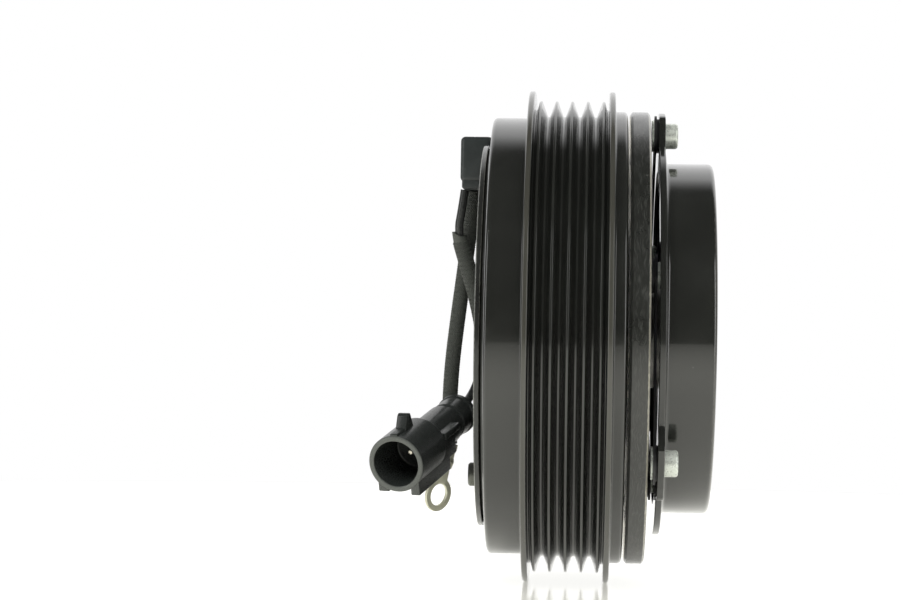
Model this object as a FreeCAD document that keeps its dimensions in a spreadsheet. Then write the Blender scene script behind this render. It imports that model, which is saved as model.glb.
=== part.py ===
import FreeCAD, Part

import math
import os
import re

import Sketcher
from FreeCAD import Placement, Rotation, Vector

# Electromagnetic clutch of a belt-driven compressor.
# Frame: millimetres, +X along the clutch axis from the compressor to the hub's front face, +Z up.
# The origin is the middle of the pulley bearing's bore, in the middle plane of the belt.

doc = FreeCAD.newDocument("ElectromagneticClutch")

# ---------------------------------------------------------------------------------------------
# Driving dimensions. Names that end in _x are places along the axis, _z and _y are places across
# it, and _radius is measured from the piece's own axis.
# ---------------------------------------------------------------------------------------------
SIZES = {
    # coil carrier
    "plate_rear_x": -20.1,
    "plate_thick": 1.2,
    "plate_radius": 43.66,
    "plate_bore_radius": 28.5,
    "pin_radius": 2.65,
    "pin_stand": 2.1,
    "pin_spigot_radius": 2.0,
    "pin_chamfer": 0.4,
    "pin_y": -12.0,
    "pin_z": -31.3,
    "shell_outer_radius": 43.3,
    "shell_inner_radius": 31.8,
    "shell_outer_wall": 2.2,
    "shell_inner_wall": 2.0,
    "shell_floor": 2.5,
    "shell_front_x": 6.0,
    "bobbin_inner_radius": 34.0,
    "bobbin_outer_radius": 40.9,
    "bobbin_rear_x": -16.2,
    "bobbin_front_x": 3.2,
    "bobbin_wall": 1.0,
    "winding_radius": 40.3,
    "resin_front_x": 5.6,
    # wire gland
    "gland_rear_x": -26.0,
    "gland_front_x": -18.5,
    "gland_near_y": 6.0,
    "gland_far_y": 22.0,
    "gland_base_z": 34.1,
    "gland_top_z": 46.2,
    "gland_lip": 1.5,
    "gland_inset": 0.4,
    "gland_corner": 1.2,
    # pulley rotor
    "rotor_rear_x": -17.9,
    "rotor_front_x": 12.6,
    "rotor_web": 5.0,
    "rotor_rear_radius": 50.0,
    "rotor_front_radius": 51.7,
    "channel_radius": 44.3,
    "channel_inner_radius": 31.0,
    "inner_wall_rear_x": -14.0,
    "rotor_corner": 1.0,
    "flange_radius": 56.2,
    "flange_outer_x": 9.75,
    "flange_inner_x": 8.4,
    "flange_edge": 0.5,
    "rib_radius": 53.95,
    "rib_side_x": 7.4,
    "rib_lean": 0.55,
    "rib_root_radius": 52.0,
    "belt_pitch": 3.56,
    "groove_radius": 50.4,
    "groove_half_top": 1.62,
    "groove_half_floor": 0.26,
    "groove_top_radius": 54.2,
    "slot_outer_ring": 41.0,
    "slot_inner_ring": 34.2,
    "slot_width": 2.4,
    "slot_angle": 76.0,
    # bearing
    "bearing_bore_radius": 15.0,
    "bearing_radius": 26.0,
    "bearing_half_width": 11.0,
    "inner_ring_radius": 18.4,
    "outer_ring_radius": 22.6,
    "ball_radius": 3.175,
    "ball_circle_radius": 20.5,
    "ball_row_x": 5.2,
    "race_radius": 3.28,
    "cage_inner_radius": 19.3,
    "cage_outer_radius": 21.7,
    "cage_half_width": 3.8,
    "cage_pocket_radius": 3.3,
    "seal_thick": 0.9,
    "seal_inset": 0.4,
    "seal_inner_radius": 18.55,
    "seat_lip_radius": 24.4,
    "clip_thick": 1.2,
    "clip_gap": 0.05,
    "clip_slot_front_play": 0.03,
    "clip_slot_rear_play": 0.05,
    "clip_inner_radius": 24.6,
    "clip_outer_radius": 27.1,
    "clip_slot_radius": 27.2,
    "clip_opening": 12.0,
    "clip_ear_radius": 2.2,
    "clip_ear_y": 7.32,
    "clip_ear_z": 23.6,
    "clip_ear_hole": 1.0,
    # armature
    "armature_rear_x": 13.1,
    "armature_front_x": 17.6,
    "armature_radius": 51.7,
    "armature_bore_radius": 27.0,
    "armature_chamfer": 0.6,
    "armature_ring": 37.6,
    "armature_slot_angle": 100.0,
    # hub
    "lobe_turn": 4.9,
    "hub_plate_rear_x": 19.6,
    "hub_plate_thick": 1.5,
    "hub_disc_radius": 45.0,
    "lobe_radius": 51.5,
    "lobe_half_base": 8.8,
    "lobe_half_tip": 7.4,
    "lobe_root_z": 41.0,
    "lobe_shoulder_z": 49.6,
    "lobe_corner": 2.0,
    "drum_radius": 40.0,
    "drum_wall": 2.2,
    "drum_front_x": 32.1,
    "drum_lip_radius": 36.6,
    "drum_lip": 1.6,
    "drum_corner": 1.2,
    "rubber_rear_x": 21.4,
    "rubber_front_x": 30.1,
    "rubber_dip": 1.6,
    "rubber_flat": 5.0,
    "sleeve_radius": 24.0,
    "sleeve_wall": 2.0,
    "sleeve_rear_x": 20.8,
    "sleeve_front_x": 30.8,
    "core_web_rear_x": 23.6,
    "core_web_front_x": 26.8,
    "core_radius": 11.5,
    "core_rear_x": 14.6,
    "core_front_x": 29.2,
    "pilot_radius": 6.5,
    "pilot_length": 4.0,
    "spline_radius": 5.5,
    "spline_root_radius": 6.15,
    "spline_half_width": 0.42,
    "spline_half_root": 0.25,
    "spline_overlap": 0.3,
    "spline_teeth": 20,
    "bolt_seat_radius": 8.6,
    "bolt_seat_depth": 2.4,
    # springs and rivets
    "rivet_circle": 46.27,
    "armature_rivet_circle": 33.0,
    "spring_angle": 60.0,
    "rivet_head_radius": 2.9,
    "rivet_head": 3.0,
    "rivet_head_round": 0.7,
    "rivet_shank_radius": 1.6,
    "rivet_tail_radius": 3.6,
    "rivet_tail": 0.6,
    "spring_rear_x": 18.7,
    "spring_thick": 0.5,
    "spring_end_radius": 4.6,
    "spring_half_width": 3.6,
    "spacer_radius": 3.9,
    "short_head_radius": 3.0,
    "short_head": 1.2,
    "short_head_round": 0.5,
    "short_shank": 3.0,
    # leads
    "ground_lead_radius": 1.68,
    "power_lead_radius": 1.0,
    "lead_sleeve_radius": 1.85,
    "lead_sleeve_bore": 1.2,
    # ring terminal
    "eye_radius": 4.1,
    "eye_hole_radius": 2.65,
    "eye_thick": 0.8,
    "eye_drop": 12.6,
    "crimp_radius": 2.05,
    "crimp_length": 6.0,
    "neck_overlap": 0.5,
    "neck_half_width": 1.7,
    "eye_turn": 48.5,
    "terminal_tilt": 12.0,
    # plug connector, measured from its rear end along its own axis
    "plug_length": 39.0,
    "plug_collar_radius": 4.7,
    "plug_collar_rim": 5.2,
    "plug_rim_length": 1.6,
    "plug_collar_length": 7.5,
    "plug_waist_radius": 4.1,
    "plug_waist_length": 1.6,
    "plug_body_radius": 4.75,
    "shroud_rear": 24.0,
    "shroud_radius": 6.55,
    "mouth_radius": 5.3,
    "mouth_depth": 13.0,
    "fin_start": 22.5,
    "fin_foot": 8.5,
    "fin_rear_lead": 1.0,
    "fin_rear_lean": 1.5,
    "fin_crest": 4.25,
    "fin_root": 1.0,
    "fin_rise": 9.7,
    "fin_half_width": 1.15,
    "key_half_width": 0.95,
    "key_rise": 7.6,
    "foot_rise": 7.7,
    "foot_half_width": 1.1,
    "foot_length": 9.0,
    "foot_root": 0.4,
    "foot_spread": 38.0,
    "rail_rise": 7.3,
    "rail_half_width": 1.3,
    "rail_length": 26.0,
    "rail_root": 1.5,
    "rail_setback": 2.0,
    "contact_radius": 0.75,
    "contact_stand": 4.5,
    "contact_sunk": 3.0,
    "contact_round": 0.45,
    "wire_seal_radius": 3.5,
    "wire_seal_length": 2.0,
}

SAME_PLACE = 1e-4
BALL_SPACING = 1.25
OVERRUN = 1.0
HUB_LOBES = 3

sheet = doc.addObject("Spreadsheet::Sheet", "Sizes")
for row, (name, number) in enumerate(SIZES.items(), start=1):
    sheet.set(f"A{row}", name)
    sheet.set(f"B{row}", str(number))
    sheet.setAlias(f"B{row}", name)
doc.recompute()

SUBPARTS = []


def formula(text):
    """An expression over the sheet's cells, from one that gives the cells' names alone."""

    def cell(word):
        name = word.group(0)
        return "Sizes." + name if name in SIZES else name

    return re.sub(r"[a-z][a-z_]+", cell, text)


def number_of(text):
    """The present value of an expression over the sheet's cells."""
    value = sheet.evalExpression(formula(text))
    return float(getattr(value, "Value", value))


def size(name):
    """One cell of the sheet."""
    return float(sheet.get(name))


def bind(thing, **properties):
    """Tie an object's properties to expressions over the sheet."""
    for name, text in properties.items():
        thing.setExpression(name.replace("__", "."), formula(text))
    return thing


def subpart(thing, label):
    """Enter a finished object in the list of sub-parts."""
    thing.Label = label
    SUBPARTS.append(thing)
    return thing


# ---------------------------------------------------------------------------------------------
# PartDesign helpers
# ---------------------------------------------------------------------------------------------
def plane_of(body, role):
    """One of the body's own origin planes."""
    return next(f for f in body.Origin.OriginFeatures if f.Role == role)


def new_body(label, start_x="0", turn=None):
    """A body whose own origin lies on the clutch axis at start_x, turned about the axis."""
    body = doc.addObject("PartDesign::Body", label)
    body.Placement = Placement(Vector(), Rotation(Vector(1, 0, 0), 0))
    bind(body, Placement__Base__x=start_x)
    if turn:
        bind(body, Placement__Rotation__Angle=turn)
    return body


def new_sketch(body, role, name):
    """A sketch on one of the body's origin planes."""
    sketch = body.newObject("Sketcher::SketchObject", name)
    sketch.AttachmentSupport = [(plane_of(body, role), "")]
    sketch.MapMode = "FlatFace"
    return sketch


def pin_point(sketch, edge, end, across, up):
    """Hold one end of an edge at expressions for its two coordinates."""
    for kind, axis, text in (("DistanceX", -2, across), ("DistanceY", -1, up)):
        value = number_of(text)
        if value == 0:
            sketch.addConstraint(Sketcher.Constraint("PointOnObject", edge, end, axis))
        else:
            index = sketch.addConstraint(Sketcher.Constraint(kind, -1, 1, edge, end, value))
            sketch.setExpression(f"Constraints[{index}]", formula(text))


def draw_outline(sketch, outline):
    """A closed outline of straight edges through points given as pairs of expressions."""
    points = [Vector(number_of(across), number_of(up), 0) for across, up in outline]
    count = len(points)
    for index, point in enumerate(points):
        sketch.addGeometry(Part.LineSegment(point, points[(index + 1) % count]))
    for index in range(count):
        following = (index + 1) % count
        sketch.addConstraint(Sketcher.Constraint("Coincident", index, 2, following, 1))
    for index, (across, up) in enumerate(outline):
        pin_point(sketch, index, 1, across, up)


def turned(label, start_x, outline, turn=None):
    """A body turned about the clutch axis, from an outline of (distance from start_x, radius)."""
    body = new_body(label, start_x, turn)
    sketch = new_sketch(body, "XZ_Plane", label + "_outline")
    draw_outline(sketch, outline)
    feature = body.newObject("PartDesign::Revolution", label + "_turned")
    feature.Profile = sketch
    feature.ReferenceAxis = (sketch, ["H_Axis"])
    feature.Angle = 360.0
    body.Tip = feature
    doc.recompute()
    return body


def turned_ring(label, start_x, length, inner, outer):
    """A plain ring about the clutch axis."""
    outline = [("0", inner), (length, inner), (length, outer), ("0", outer)]
    return turned(label, start_x, outline)


def rounded(body, radius, places, chamfer=False):
    """Round or chamfer the circular edges at (distance from the body's start, radius)."""
    base = body.Tip
    names = []
    for index, edge in enumerate(base.Shape.Edges, start=1):
        if not isinstance(edge.Curve, Part.Circle):
            continue
        for across, reach in places:
            near_x = abs(edge.Curve.Center.x - number_of(across)) < SAME_PLACE
            if near_x and abs(edge.Curve.Radius - number_of(reach)) < SAME_PLACE:
                names.append(f"Edge{index}")
    kind = "Chamfer" if chamfer else "Fillet"
    feature = body.newObject("PartDesign::" + kind, f"{body.Name}_{kind.lower()}")
    feature.Base = (base, names)
    bind(feature, **{"Size" if chamfer else "Radius": radius})
    body.Tip = feature
    doc.recompute()


def cut_checked(body, feature, before):
    """Make sure that a cut took material away."""
    doc.recompute()
    if body.Shape.Volume >= before - SAME_PLACE:
        raise RuntimeError(f"{feature.Name} cuts nothing")


def axis_of(body):
    """The body's own X axis, for a pattern."""
    return next(f for f in body.Origin.OriginFeatures if f.Role == "X_Axis")


def polar_pattern(body, feature, count):
    """Repeat a feature evenly about the clutch axis."""
    pattern = body.newObject("PartDesign::PolarPattern", feature.Name + "_ring")
    pattern.Originals = [feature]
    pattern.Axis = (axis_of(body), [""])
    pattern.Angle = 360.0
    pattern.Occurrences = count
    body.Tip = pattern
    doc.recompute()


def pocket(body, sketch, depth, name):
    """A pocket from the sketch's plane towards the front, which is along +X."""
    before = body.Shape.Volume
    feature = body.newObject("PartDesign::Pocket", name)
    feature.Profile = sketch
    feature.Reversed = True
    bind(feature, Length=depth)
    body.Tip = feature
    cut_checked(body, feature, before)
    return feature


def draw_arc_slot(sketch, ring, width, angle):
    """A curved slot centred on the sketch's upward axis, on a ring of the given radius."""
    half = math.radians(number_of(angle)) / 2
    inner = number_of(f"{ring} - {width} / 2")
    outer = number_of(f"{ring} + {width} / 2")
    start, end = math.pi / 2 - half, math.pi / 2 + half
    upward = Vector(0, 0, 1)
    for radius in (inner, outer):
        sketch.addGeometry(Part.ArcOfCircle(Part.Circle(Vector(), upward, radius), start, end))
    for side in (start, end):
        ray = Vector(math.cos(side), math.sin(side), 0)
        sketch.addGeometry(Part.LineSegment(ray * inner, ray * outer))
    for arc, text in ((0, f"{ring} - {width} / 2"), (1, f"{ring} + {width} / 2")):
        sketch.addConstraint(Sketcher.Constraint("Coincident", arc, 3, -1, 1))
        index = sketch.addConstraint(Sketcher.Constraint("Radius", arc, number_of(text)))
        sketch.setExpression(f"Constraints[{index}]", formula(text))
    for line, end_of_arc in ((2, 1), (3, 2)):
        sketch.addConstraint(Sketcher.Constraint("Coincident", line, 1, 0, end_of_arc))
        sketch.addConstraint(Sketcher.Constraint("Coincident", line, 2, 1, end_of_arc))
        sketch.addConstraint(Sketcher.Constraint("PointOnObject", -1, 1, line))
    lean = {2: f"90 - {angle} / 2", 3: f"90 + {angle} / 2"}
    for line, text in lean.items():
        index = sketch.addConstraint(Sketcher.Constraint("Angle", line, math.radians(number_of(text))))
        sketch.setExpression(f"Constraints[{index}]", f"({formula(text)}) * 1 deg")


def slot_ring(body, name, ring, width, angle, depth, count):
    """A ring of curved slots through a disc whose rear face is the body's own start."""
    sketch = new_sketch(body, "YZ_Plane", name + "_sketch")
    draw_arc_slot(sketch, ring, width, angle)
    polar_pattern(body, pocket(body, sketch, depth, name), count)


def draw_circle(sketch, across, up, radius):
    """A circle whose centre and radius are expressions."""
    centre = Vector(number_of(across), number_of(up), 0)
    circle = Part.Circle(centre, Vector(0, 0, 1), number_of(radius))
    edge = sketch.addGeometry(circle)
    pin_point(sketch, edge, 3, across, up)
    index = sketch.addConstraint(Sketcher.Constraint("Radius", edge, number_of(radius)))
    sketch.setExpression(f"Constraints[{index}]", formula(radius))


def drilled(body, name, across, up, radius, depth):
    """A round hole along the clutch axis, from the body's own start towards the front."""
    sketch = new_sketch(body, "YZ_Plane", name + "_sketch")
    draw_circle(sketch, across, up, radius)
    return pocket(body, sketch, depth, name)


# ---------------------------------------------------------------------------------------------
# Part helpers
# ---------------------------------------------------------------------------------------------
def box(name, x, y, z, length, width, height):
    """A box with its low corner and sizes as expressions."""
    thing = doc.addObject("Part::Box", name)
    bind(thing, Length=length, Width=width, Height=height)
    return bind(thing, Placement__Base__x=x, Placement__Base__y=y, Placement__Base__z=z)


def rod(name, radius, length, x="0", y="0", z="0", along=Vector(0, 0, 1)):
    """A cylinder from a point along a direction."""
    thing = doc.addObject("Part::Cylinder", name)
    thing.Placement = Placement(Vector(), Rotation(Vector(0, 0, 1), along))
    bind(thing, Radius=radius, Height=length)
    return bind(thing, Placement__Base__x=x, Placement__Base__y=y, Placement__Base__z=z)


def fuse(name, things):
    """Join several objects into one solid."""
    thing = doc.addObject("Part::MultiFuse", name)
    thing.Shapes = things
    return thing


def cut(name, base, tool):
    """Take one object away from another."""
    thing = doc.addObject("Part::Cut", name)
    thing.Base = base
    thing.Tool = tool
    return thing


def filleted(name, base, radius, wanted):
    """Round the edges of base for which wanted(edge) is true."""
    doc.recompute()
    thing = doc.addObject("Part::Fillet", name)
    thing.Base = base
    reach = number_of(radius)
    edges = enumerate(base.Shape.Edges, start=1)
    thing.Edges = [(index, reach, reach) for index, edge in edges if wanted(edge)]
    return thing


AXIAL = Vector(1, 0, 0)


# ---------------------------------------------------------------------------------------------
# Coil carrier: plate, shell, bobbin, winding, resin and the pin that stops it turning
# ---------------------------------------------------------------------------------------------
def build_coil():
    """The stationary field coil."""
    plate = turned_ring(
        "coil_mounting_plate", "plate_rear_x", "plate_thick", "plate_bore_radius", "plate_radius"
    )
    drilled(plate, "pin_hole", "pin_y", "pin_z", "pin_spigot_radius", "plate_thick")
    subpart(plate, "coil_mounting_plate")
    build_pin()
    build_shell_and_bobbin()


def build_pin():
    """The pin that stops the coil from turning: a head outside the plate and a spigot in its hole."""
    rear_x = "plate_rear_x - pin_stand"
    head = rod("pin_head", "pin_radius", "pin_stand", rear_x, "pin_y", "pin_z", AXIAL)
    whole_length = "pin_stand + plate_thick"
    spigot = rod("pin_spigot", "pin_spigot_radius", whole_length, rear_x, "pin_y", "pin_z", AXIAL)
    pin = fuse("pin_sharp", [head, spigot])
    rear = number_of(rear_x)
    chamfer = doc.addObject("Part::Chamfer", "locating_pin")
    doc.recompute()
    chamfer.Base = pin
    reach = size("pin_chamfer")
    chamfer.Edges = [
        (index, reach, reach)
        for index, edge in enumerate(pin.Shape.Edges, start=1)
        if isinstance(edge.Curve, Part.Circle) and abs(edge.Curve.Center.x - rear) < SAME_PLACE
    ]
    subpart(chamfer, "locating_pin")


def build_shell_and_bobbin():
    """The steel shell, and the wound bobbin that resin seals inside it."""
    rear_x = "(plate_rear_x + plate_thick)"
    length = f"shell_front_x - {rear_x}"
    shell = turned(
        "coil_housing",
        rear_x,
        [
            ("0", "shell_inner_radius"),
            (length, "shell_inner_radius"),
            (length, "shell_inner_radius + shell_inner_wall"),
            ("shell_floor", "shell_inner_radius + shell_inner_wall"),
            ("shell_floor", "shell_outer_radius - shell_outer_wall"),
            (length, "shell_outer_radius - shell_outer_wall"),
            (length, "shell_outer_radius"),
            ("0", "shell_outer_radius"),
        ],
    )
    subpart(shell, "coil_housing")

    length = "bobbin_front_x - bobbin_rear_x"
    tube = "bobbin_inner_radius + bobbin_wall"
    bobbin = turned(
        "coil_bobbin",
        "bobbin_rear_x",
        [
            ("0", "bobbin_inner_radius"),
            (length, "bobbin_inner_radius"),
            (length, "bobbin_outer_radius"),
            (f"{length} - bobbin_wall", "bobbin_outer_radius"),
            (f"{length} - bobbin_wall", tube),
            ("bobbin_wall", tube),
            ("bobbin_wall", "bobbin_outer_radius"),
            ("0", "bobbin_outer_radius"),
        ],
    )
    subpart(bobbin, "coil_bobbin")

    wound = f"{length} - 2 * bobbin_wall"
    winding = turned_ring("coil_winding", "bobbin_rear_x + bobbin_wall", wound, tube, "winding_radius")
    subpart(winding, "coil_winding")

    resin = turned_ring(
        "potting_resin",
        "bobbin_front_x",
        "resin_front_x - bobbin_front_x",
        "shell_inner_radius + shell_inner_wall",
        "shell_outer_radius - shell_outer_wall",
    )
    subpart(resin, "potting_resin")


def build_gland():
    """The moulded block that brings both leads out over the plate's rim."""
    block = box(
        "gland_block",
        "gland_rear_x",
        "gland_near_y",
        "gland_base_z + gland_lip",
        "gland_front_x - gland_rear_x",
        "gland_far_y - gland_near_y",
        "gland_top_z - gland_base_z - gland_lip",
    )
    top = size("gland_top_z")
    rear = size("gland_rear_x")

    def outer_edge(edge):
        middle = edge.CenterOfMass
        return abs(middle.z - top) < SAME_PLACE or abs(middle.x - rear) < SAME_PLACE

    soft = filleted("gland_soft_block", block, "gland_corner", outer_edge)
    lip = box(
        "gland_lip_block",
        "gland_rear_x + gland_inset",
        "gland_near_y + gland_inset",
        "gland_base_z",
        "plate_rear_x - gland_rear_x - gland_inset",
        "gland_far_y - gland_near_y - 2 * gland_inset",
        "gland_lip + gland_corner",
    )
    rim = rod("gland_rim_cut", "plate_radius", f"plate_thick + {OVERRUN}", "plate_rear_x", along=AXIAL)
    whole = fuse("gland_whole", [soft, lip])
    subpart(cut("wire_gland", whole, rim), "wire_gland")


# ---------------------------------------------------------------------------------------------
# Pulley rotor: the belt's grooves outside, the coil's channel and the bearing's seat inside
# ---------------------------------------------------------------------------------------------
def build_rotor():
    """The pulley, which is also the magnet's rotor."""

    def at(place):
        return f"({place}) - rotor_rear_x"

    front = at("rotor_front_x")
    web_rear = at("rotor_front_x - rotor_web")
    seat_front = at("bearing_half_width")
    clip_front = at("-bearing_half_width - clip_gap + clip_slot_front_play")
    clip_rear = at("-bearing_half_width - clip_gap - clip_thick - clip_slot_rear_play")
    inner_rear = at("inner_wall_rear_x")
    rotor = turned(
        "pulley_rotor",
        "rotor_rear_x",
        [
            ("0", "channel_radius"),
            (web_rear, "channel_radius"),
            (web_rear, "channel_inner_radius"),
            (inner_rear, "channel_inner_radius"),
            (inner_rear, "bearing_radius"),
            (clip_rear, "bearing_radius"),
            (clip_rear, "clip_slot_radius"),
            (clip_front, "clip_slot_radius"),
            (clip_front, "bearing_radius"),
            (seat_front, "bearing_radius"),
            (seat_front, "seat_lip_radius"),
            (front, "seat_lip_radius"),
            (front, "rotor_front_radius"),
            (at("flange_outer_x"), "rotor_front_radius"),
            (at("flange_outer_x"), "flange_radius"),
            (at("flange_inner_x"), "flange_radius"),
            (at("flange_inner_x"), "rib_root_radius"),
            (at("rib_side_x + rib_lean"), "rib_root_radius"),
            (at("rib_side_x"), "rib_radius"),
            (at("-rib_side_x"), "rib_radius"),
            (at("-rib_side_x - rib_lean"), "rib_root_radius"),
            (at("-flange_inner_x"), "rib_root_radius"),
            (at("-flange_inner_x"), "flange_radius"),
            (at("-flange_outer_x"), "flange_radius"),
            (at("-flange_outer_x"), "rotor_rear_radius"),
            ("0", "rotor_rear_radius"),
        ],
    )
    flange_sides = ("flange_outer_x", "flange_inner_x", "-flange_outer_x", "-flange_inner_x")
    rounded(rotor, "flange_edge", [(at(side), "flange_radius") for side in flange_sides])
    rounded(rotor, "rotor_corner", [("0", "rotor_rear_radius"), (front, "rotor_front_radius")])

    before = rotor.Shape.Volume
    first = "-1.5 * belt_pitch - rotor_rear_x"
    sketch = new_sketch(rotor, "XZ_Plane", "groove_sketch")
    draw_outline(
        sketch,
        [
            (f"{first} - groove_half_top", "groove_top_radius"),
            (f"{first} - groove_half_floor", "groove_radius"),
            (f"{first} + groove_half_floor", "groove_radius"),
            (f"{first} + groove_half_top", "groove_top_radius"),
        ],
    )
    groove = rotor.newObject("PartDesign::Groove", "belt_groove")
    groove.Profile = sketch
    groove.ReferenceAxis = (sketch, ["H_Axis"])
    groove.Angle = 360.0
    rotor.Tip = groove
    cut_checked(rotor, groove, before)
    pattern = rotor.newObject("PartDesign::LinearPattern", "belt_grooves")
    pattern.Originals = [groove]
    pattern.Direction = (axis_of(rotor), [""])
    pattern.Occurrences = 4
    bind(pattern, Length="3 * belt_pitch")
    rotor.Tip = pattern
    doc.recompute()

    for name, ring in (("outer_flux_slot", "slot_outer_ring"), ("inner_flux_slot", "slot_inner_ring")):
        slot_ring(rotor, name, ring, "slot_width", "slot_angle", f"{front} + {OVERRUN}", 4)
    subpart(rotor, "pulley_rotor")


# ---------------------------------------------------------------------------------------------
# Pulley bearing: two rows of balls, with seals and a snap ring
# ---------------------------------------------------------------------------------------------
def race_tool(name):
    """The two rings of round section that the ball tracks are cut with."""
    tracks = []
    for index, sign in enumerate(("-", "")):
        track = doc.addObject("Part::Torus", f"{name}_{index + 1}")
        track.Placement = Placement(Vector(), Rotation(Vector(0, 0, 1), AXIAL))
        bind(track, Radius1="ball_circle_radius", Radius2="race_radius")
        bind(track, Placement__Base__x=f"{sign}ball_row_x")
        tracks.append(track)
    return fuse(name, tracks)


def tube(name, inner, outer, length, x):
    """A plain tube along the clutch axis made of two cylinders."""
    solid = rod(name + "_solid", outer, length, x, along=AXIAL)
    hollow = rod(name + "_hollow", inner, length, x, along=AXIAL)
    return cut(name + "_tube", solid, hollow)


def build_bearing():
    """The double-row ball bearing that carries the pulley on the compressor's nose."""
    width = "2 * bearing_half_width"
    for label, inner, outer in (
        ("bearing_inner_ring", "bearing_bore_radius", "inner_ring_radius"),
        ("bearing_outer_ring", "outer_ring_radius", "bearing_radius"),
    ):
        ring = tube(label, inner, outer, width, "-bearing_half_width")
        subpart(cut(label, ring, race_tool(label + "_tracks")), label)

    pitch = BALL_SPACING * size("ball_radius")
    count = int(math.pi * size("ball_circle_radius") / pitch)
    centres = {}
    for row, sign in (("rear", -1), ("front", 1)):
        for index in range(count):
            angle = 2 * math.pi * (index + (0.5 if sign > 0 else 0.0)) / count
            reach = size("ball_circle_radius")
            place = Vector(sign * size("ball_row_x"), reach * math.cos(angle), reach * math.sin(angle))
            centres.setdefault(row, []).append(place)

    balls = doc.addObject("Part::Feature", "bearing_balls")
    every_centre = centres["rear"] + centres["front"]
    balls.Shape = Part.makeCompound([Part.makeSphere(size("ball_radius"), place) for place in every_centre])
    subpart(balls, "bearing_balls")

    for row, sign in (("rear", "-"), ("front", "")):
        label = f"bearing_cage_{row}"
        start = f"{sign}ball_row_x - cage_half_width"
        ring = tube(label, "cage_inner_radius", "cage_outer_radius", "2 * cage_half_width", start)
        pockets = doc.addObject("Part::Feature", label + "_pockets")
        spheres = [Part.makeSphere(size("cage_pocket_radius"), place) for place in centres[row]]
        pockets.Shape = Part.makeCompound(spheres)
        subpart(cut(label, ring, pockets), label)

    for row, start in (
        ("rear", "-bearing_half_width + seal_inset"),
        ("front", "bearing_half_width - seal_inset - seal_thick"),
    ):
        label = f"bearing_seal_{row}"
        subpart(turned_ring(label, start, "seal_thick", "seal_inner_radius", "outer_ring_radius"), label)

    build_snap_ring()


def build_snap_ring():
    """The ring that holds the bearing in the rotor, with two eyes for the pliers."""
    rear = "-bearing_half_width - clip_gap - clip_thick"
    ring = tube("clip", "clip_inner_radius", "clip_outer_radius", "clip_thick", rear)
    opening = box(
        "clip_opening",
        rear,
        "-clip_opening / 2",
        "-clip_outer_radius",
        "clip_thick",
        "clip_opening",
        "2 * (clip_outer_radius - clip_inner_radius)",
    )
    open_ring = cut("clip_open", ring, opening)
    ears = []
    holes = []
    for side, sign in (("near", "-"), ("far", "")):
        place = (rear, f"{sign}clip_ear_y", "-clip_ear_z", AXIAL)
        ears.append(rod(f"clip_ear_{side}", "clip_ear_radius", "clip_thick", *place))
        holes.append(rod(f"clip_eye_{side}", "clip_ear_hole", "clip_thick", *place))
    eared = fuse("clip_eared", [open_ring] + ears)
    subpart(cut("bearing_snap_ring", eared, fuse("clip_eyes", holes)), "bearing_snap_ring")


# ---------------------------------------------------------------------------------------------
# Armature plate
# ---------------------------------------------------------------------------------------------
def polar_y(ring, angle):
    """The Y of a point on a ring at an angle from +Z, turning from +Z towards -Y."""
    return f"-({ring}) * sin(({angle}) * 1 deg)"


def polar_z(ring, angle):
    """The Z of a point on a ring at an angle from +Z, turning from +Z towards -Y."""
    return f"({ring}) * cos(({angle}) * 1 deg)"


def lobe_angle(index):
    """The turn from +Z of one of the hub's three lobes."""
    return f"(lobe_turn + {360 * index // HUB_LOBES})"


def build_armature():
    """The friction disc that the coil pulls against the rotor."""
    thick = "armature_front_x - armature_rear_x"
    plate = turned(
        "armature_plate",
        "armature_rear_x",
        [
            ("0", "armature_bore_radius"),
            (thick, "armature_bore_radius"),
            (thick, "armature_radius"),
            ("armature_chamfer", "armature_radius"),
            ("0", "armature_radius - armature_chamfer"),
        ],
        turn="lobe_turn - spring_angle",
    )
    hole = drilled(plate, "armature_rivet_hole", "0", "armature_rivet_circle", "rivet_shank_radius", thick)
    polar_pattern(plate, hole, HUB_LOBES)
    sketch = new_sketch(plate, "YZ_Plane", "armature_slot_sketch")
    draw_arc_slot(sketch, "armature_ring", "slot_width", "armature_slot_angle")
    polar_pattern(plate, pocket(plate, sketch, thick, "armature_slot"), HUB_LOBES)
    rounded(plate, "armature_chamfer", [(thick, "armature_radius")])
    subpart(plate, "armature_plate")


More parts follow.
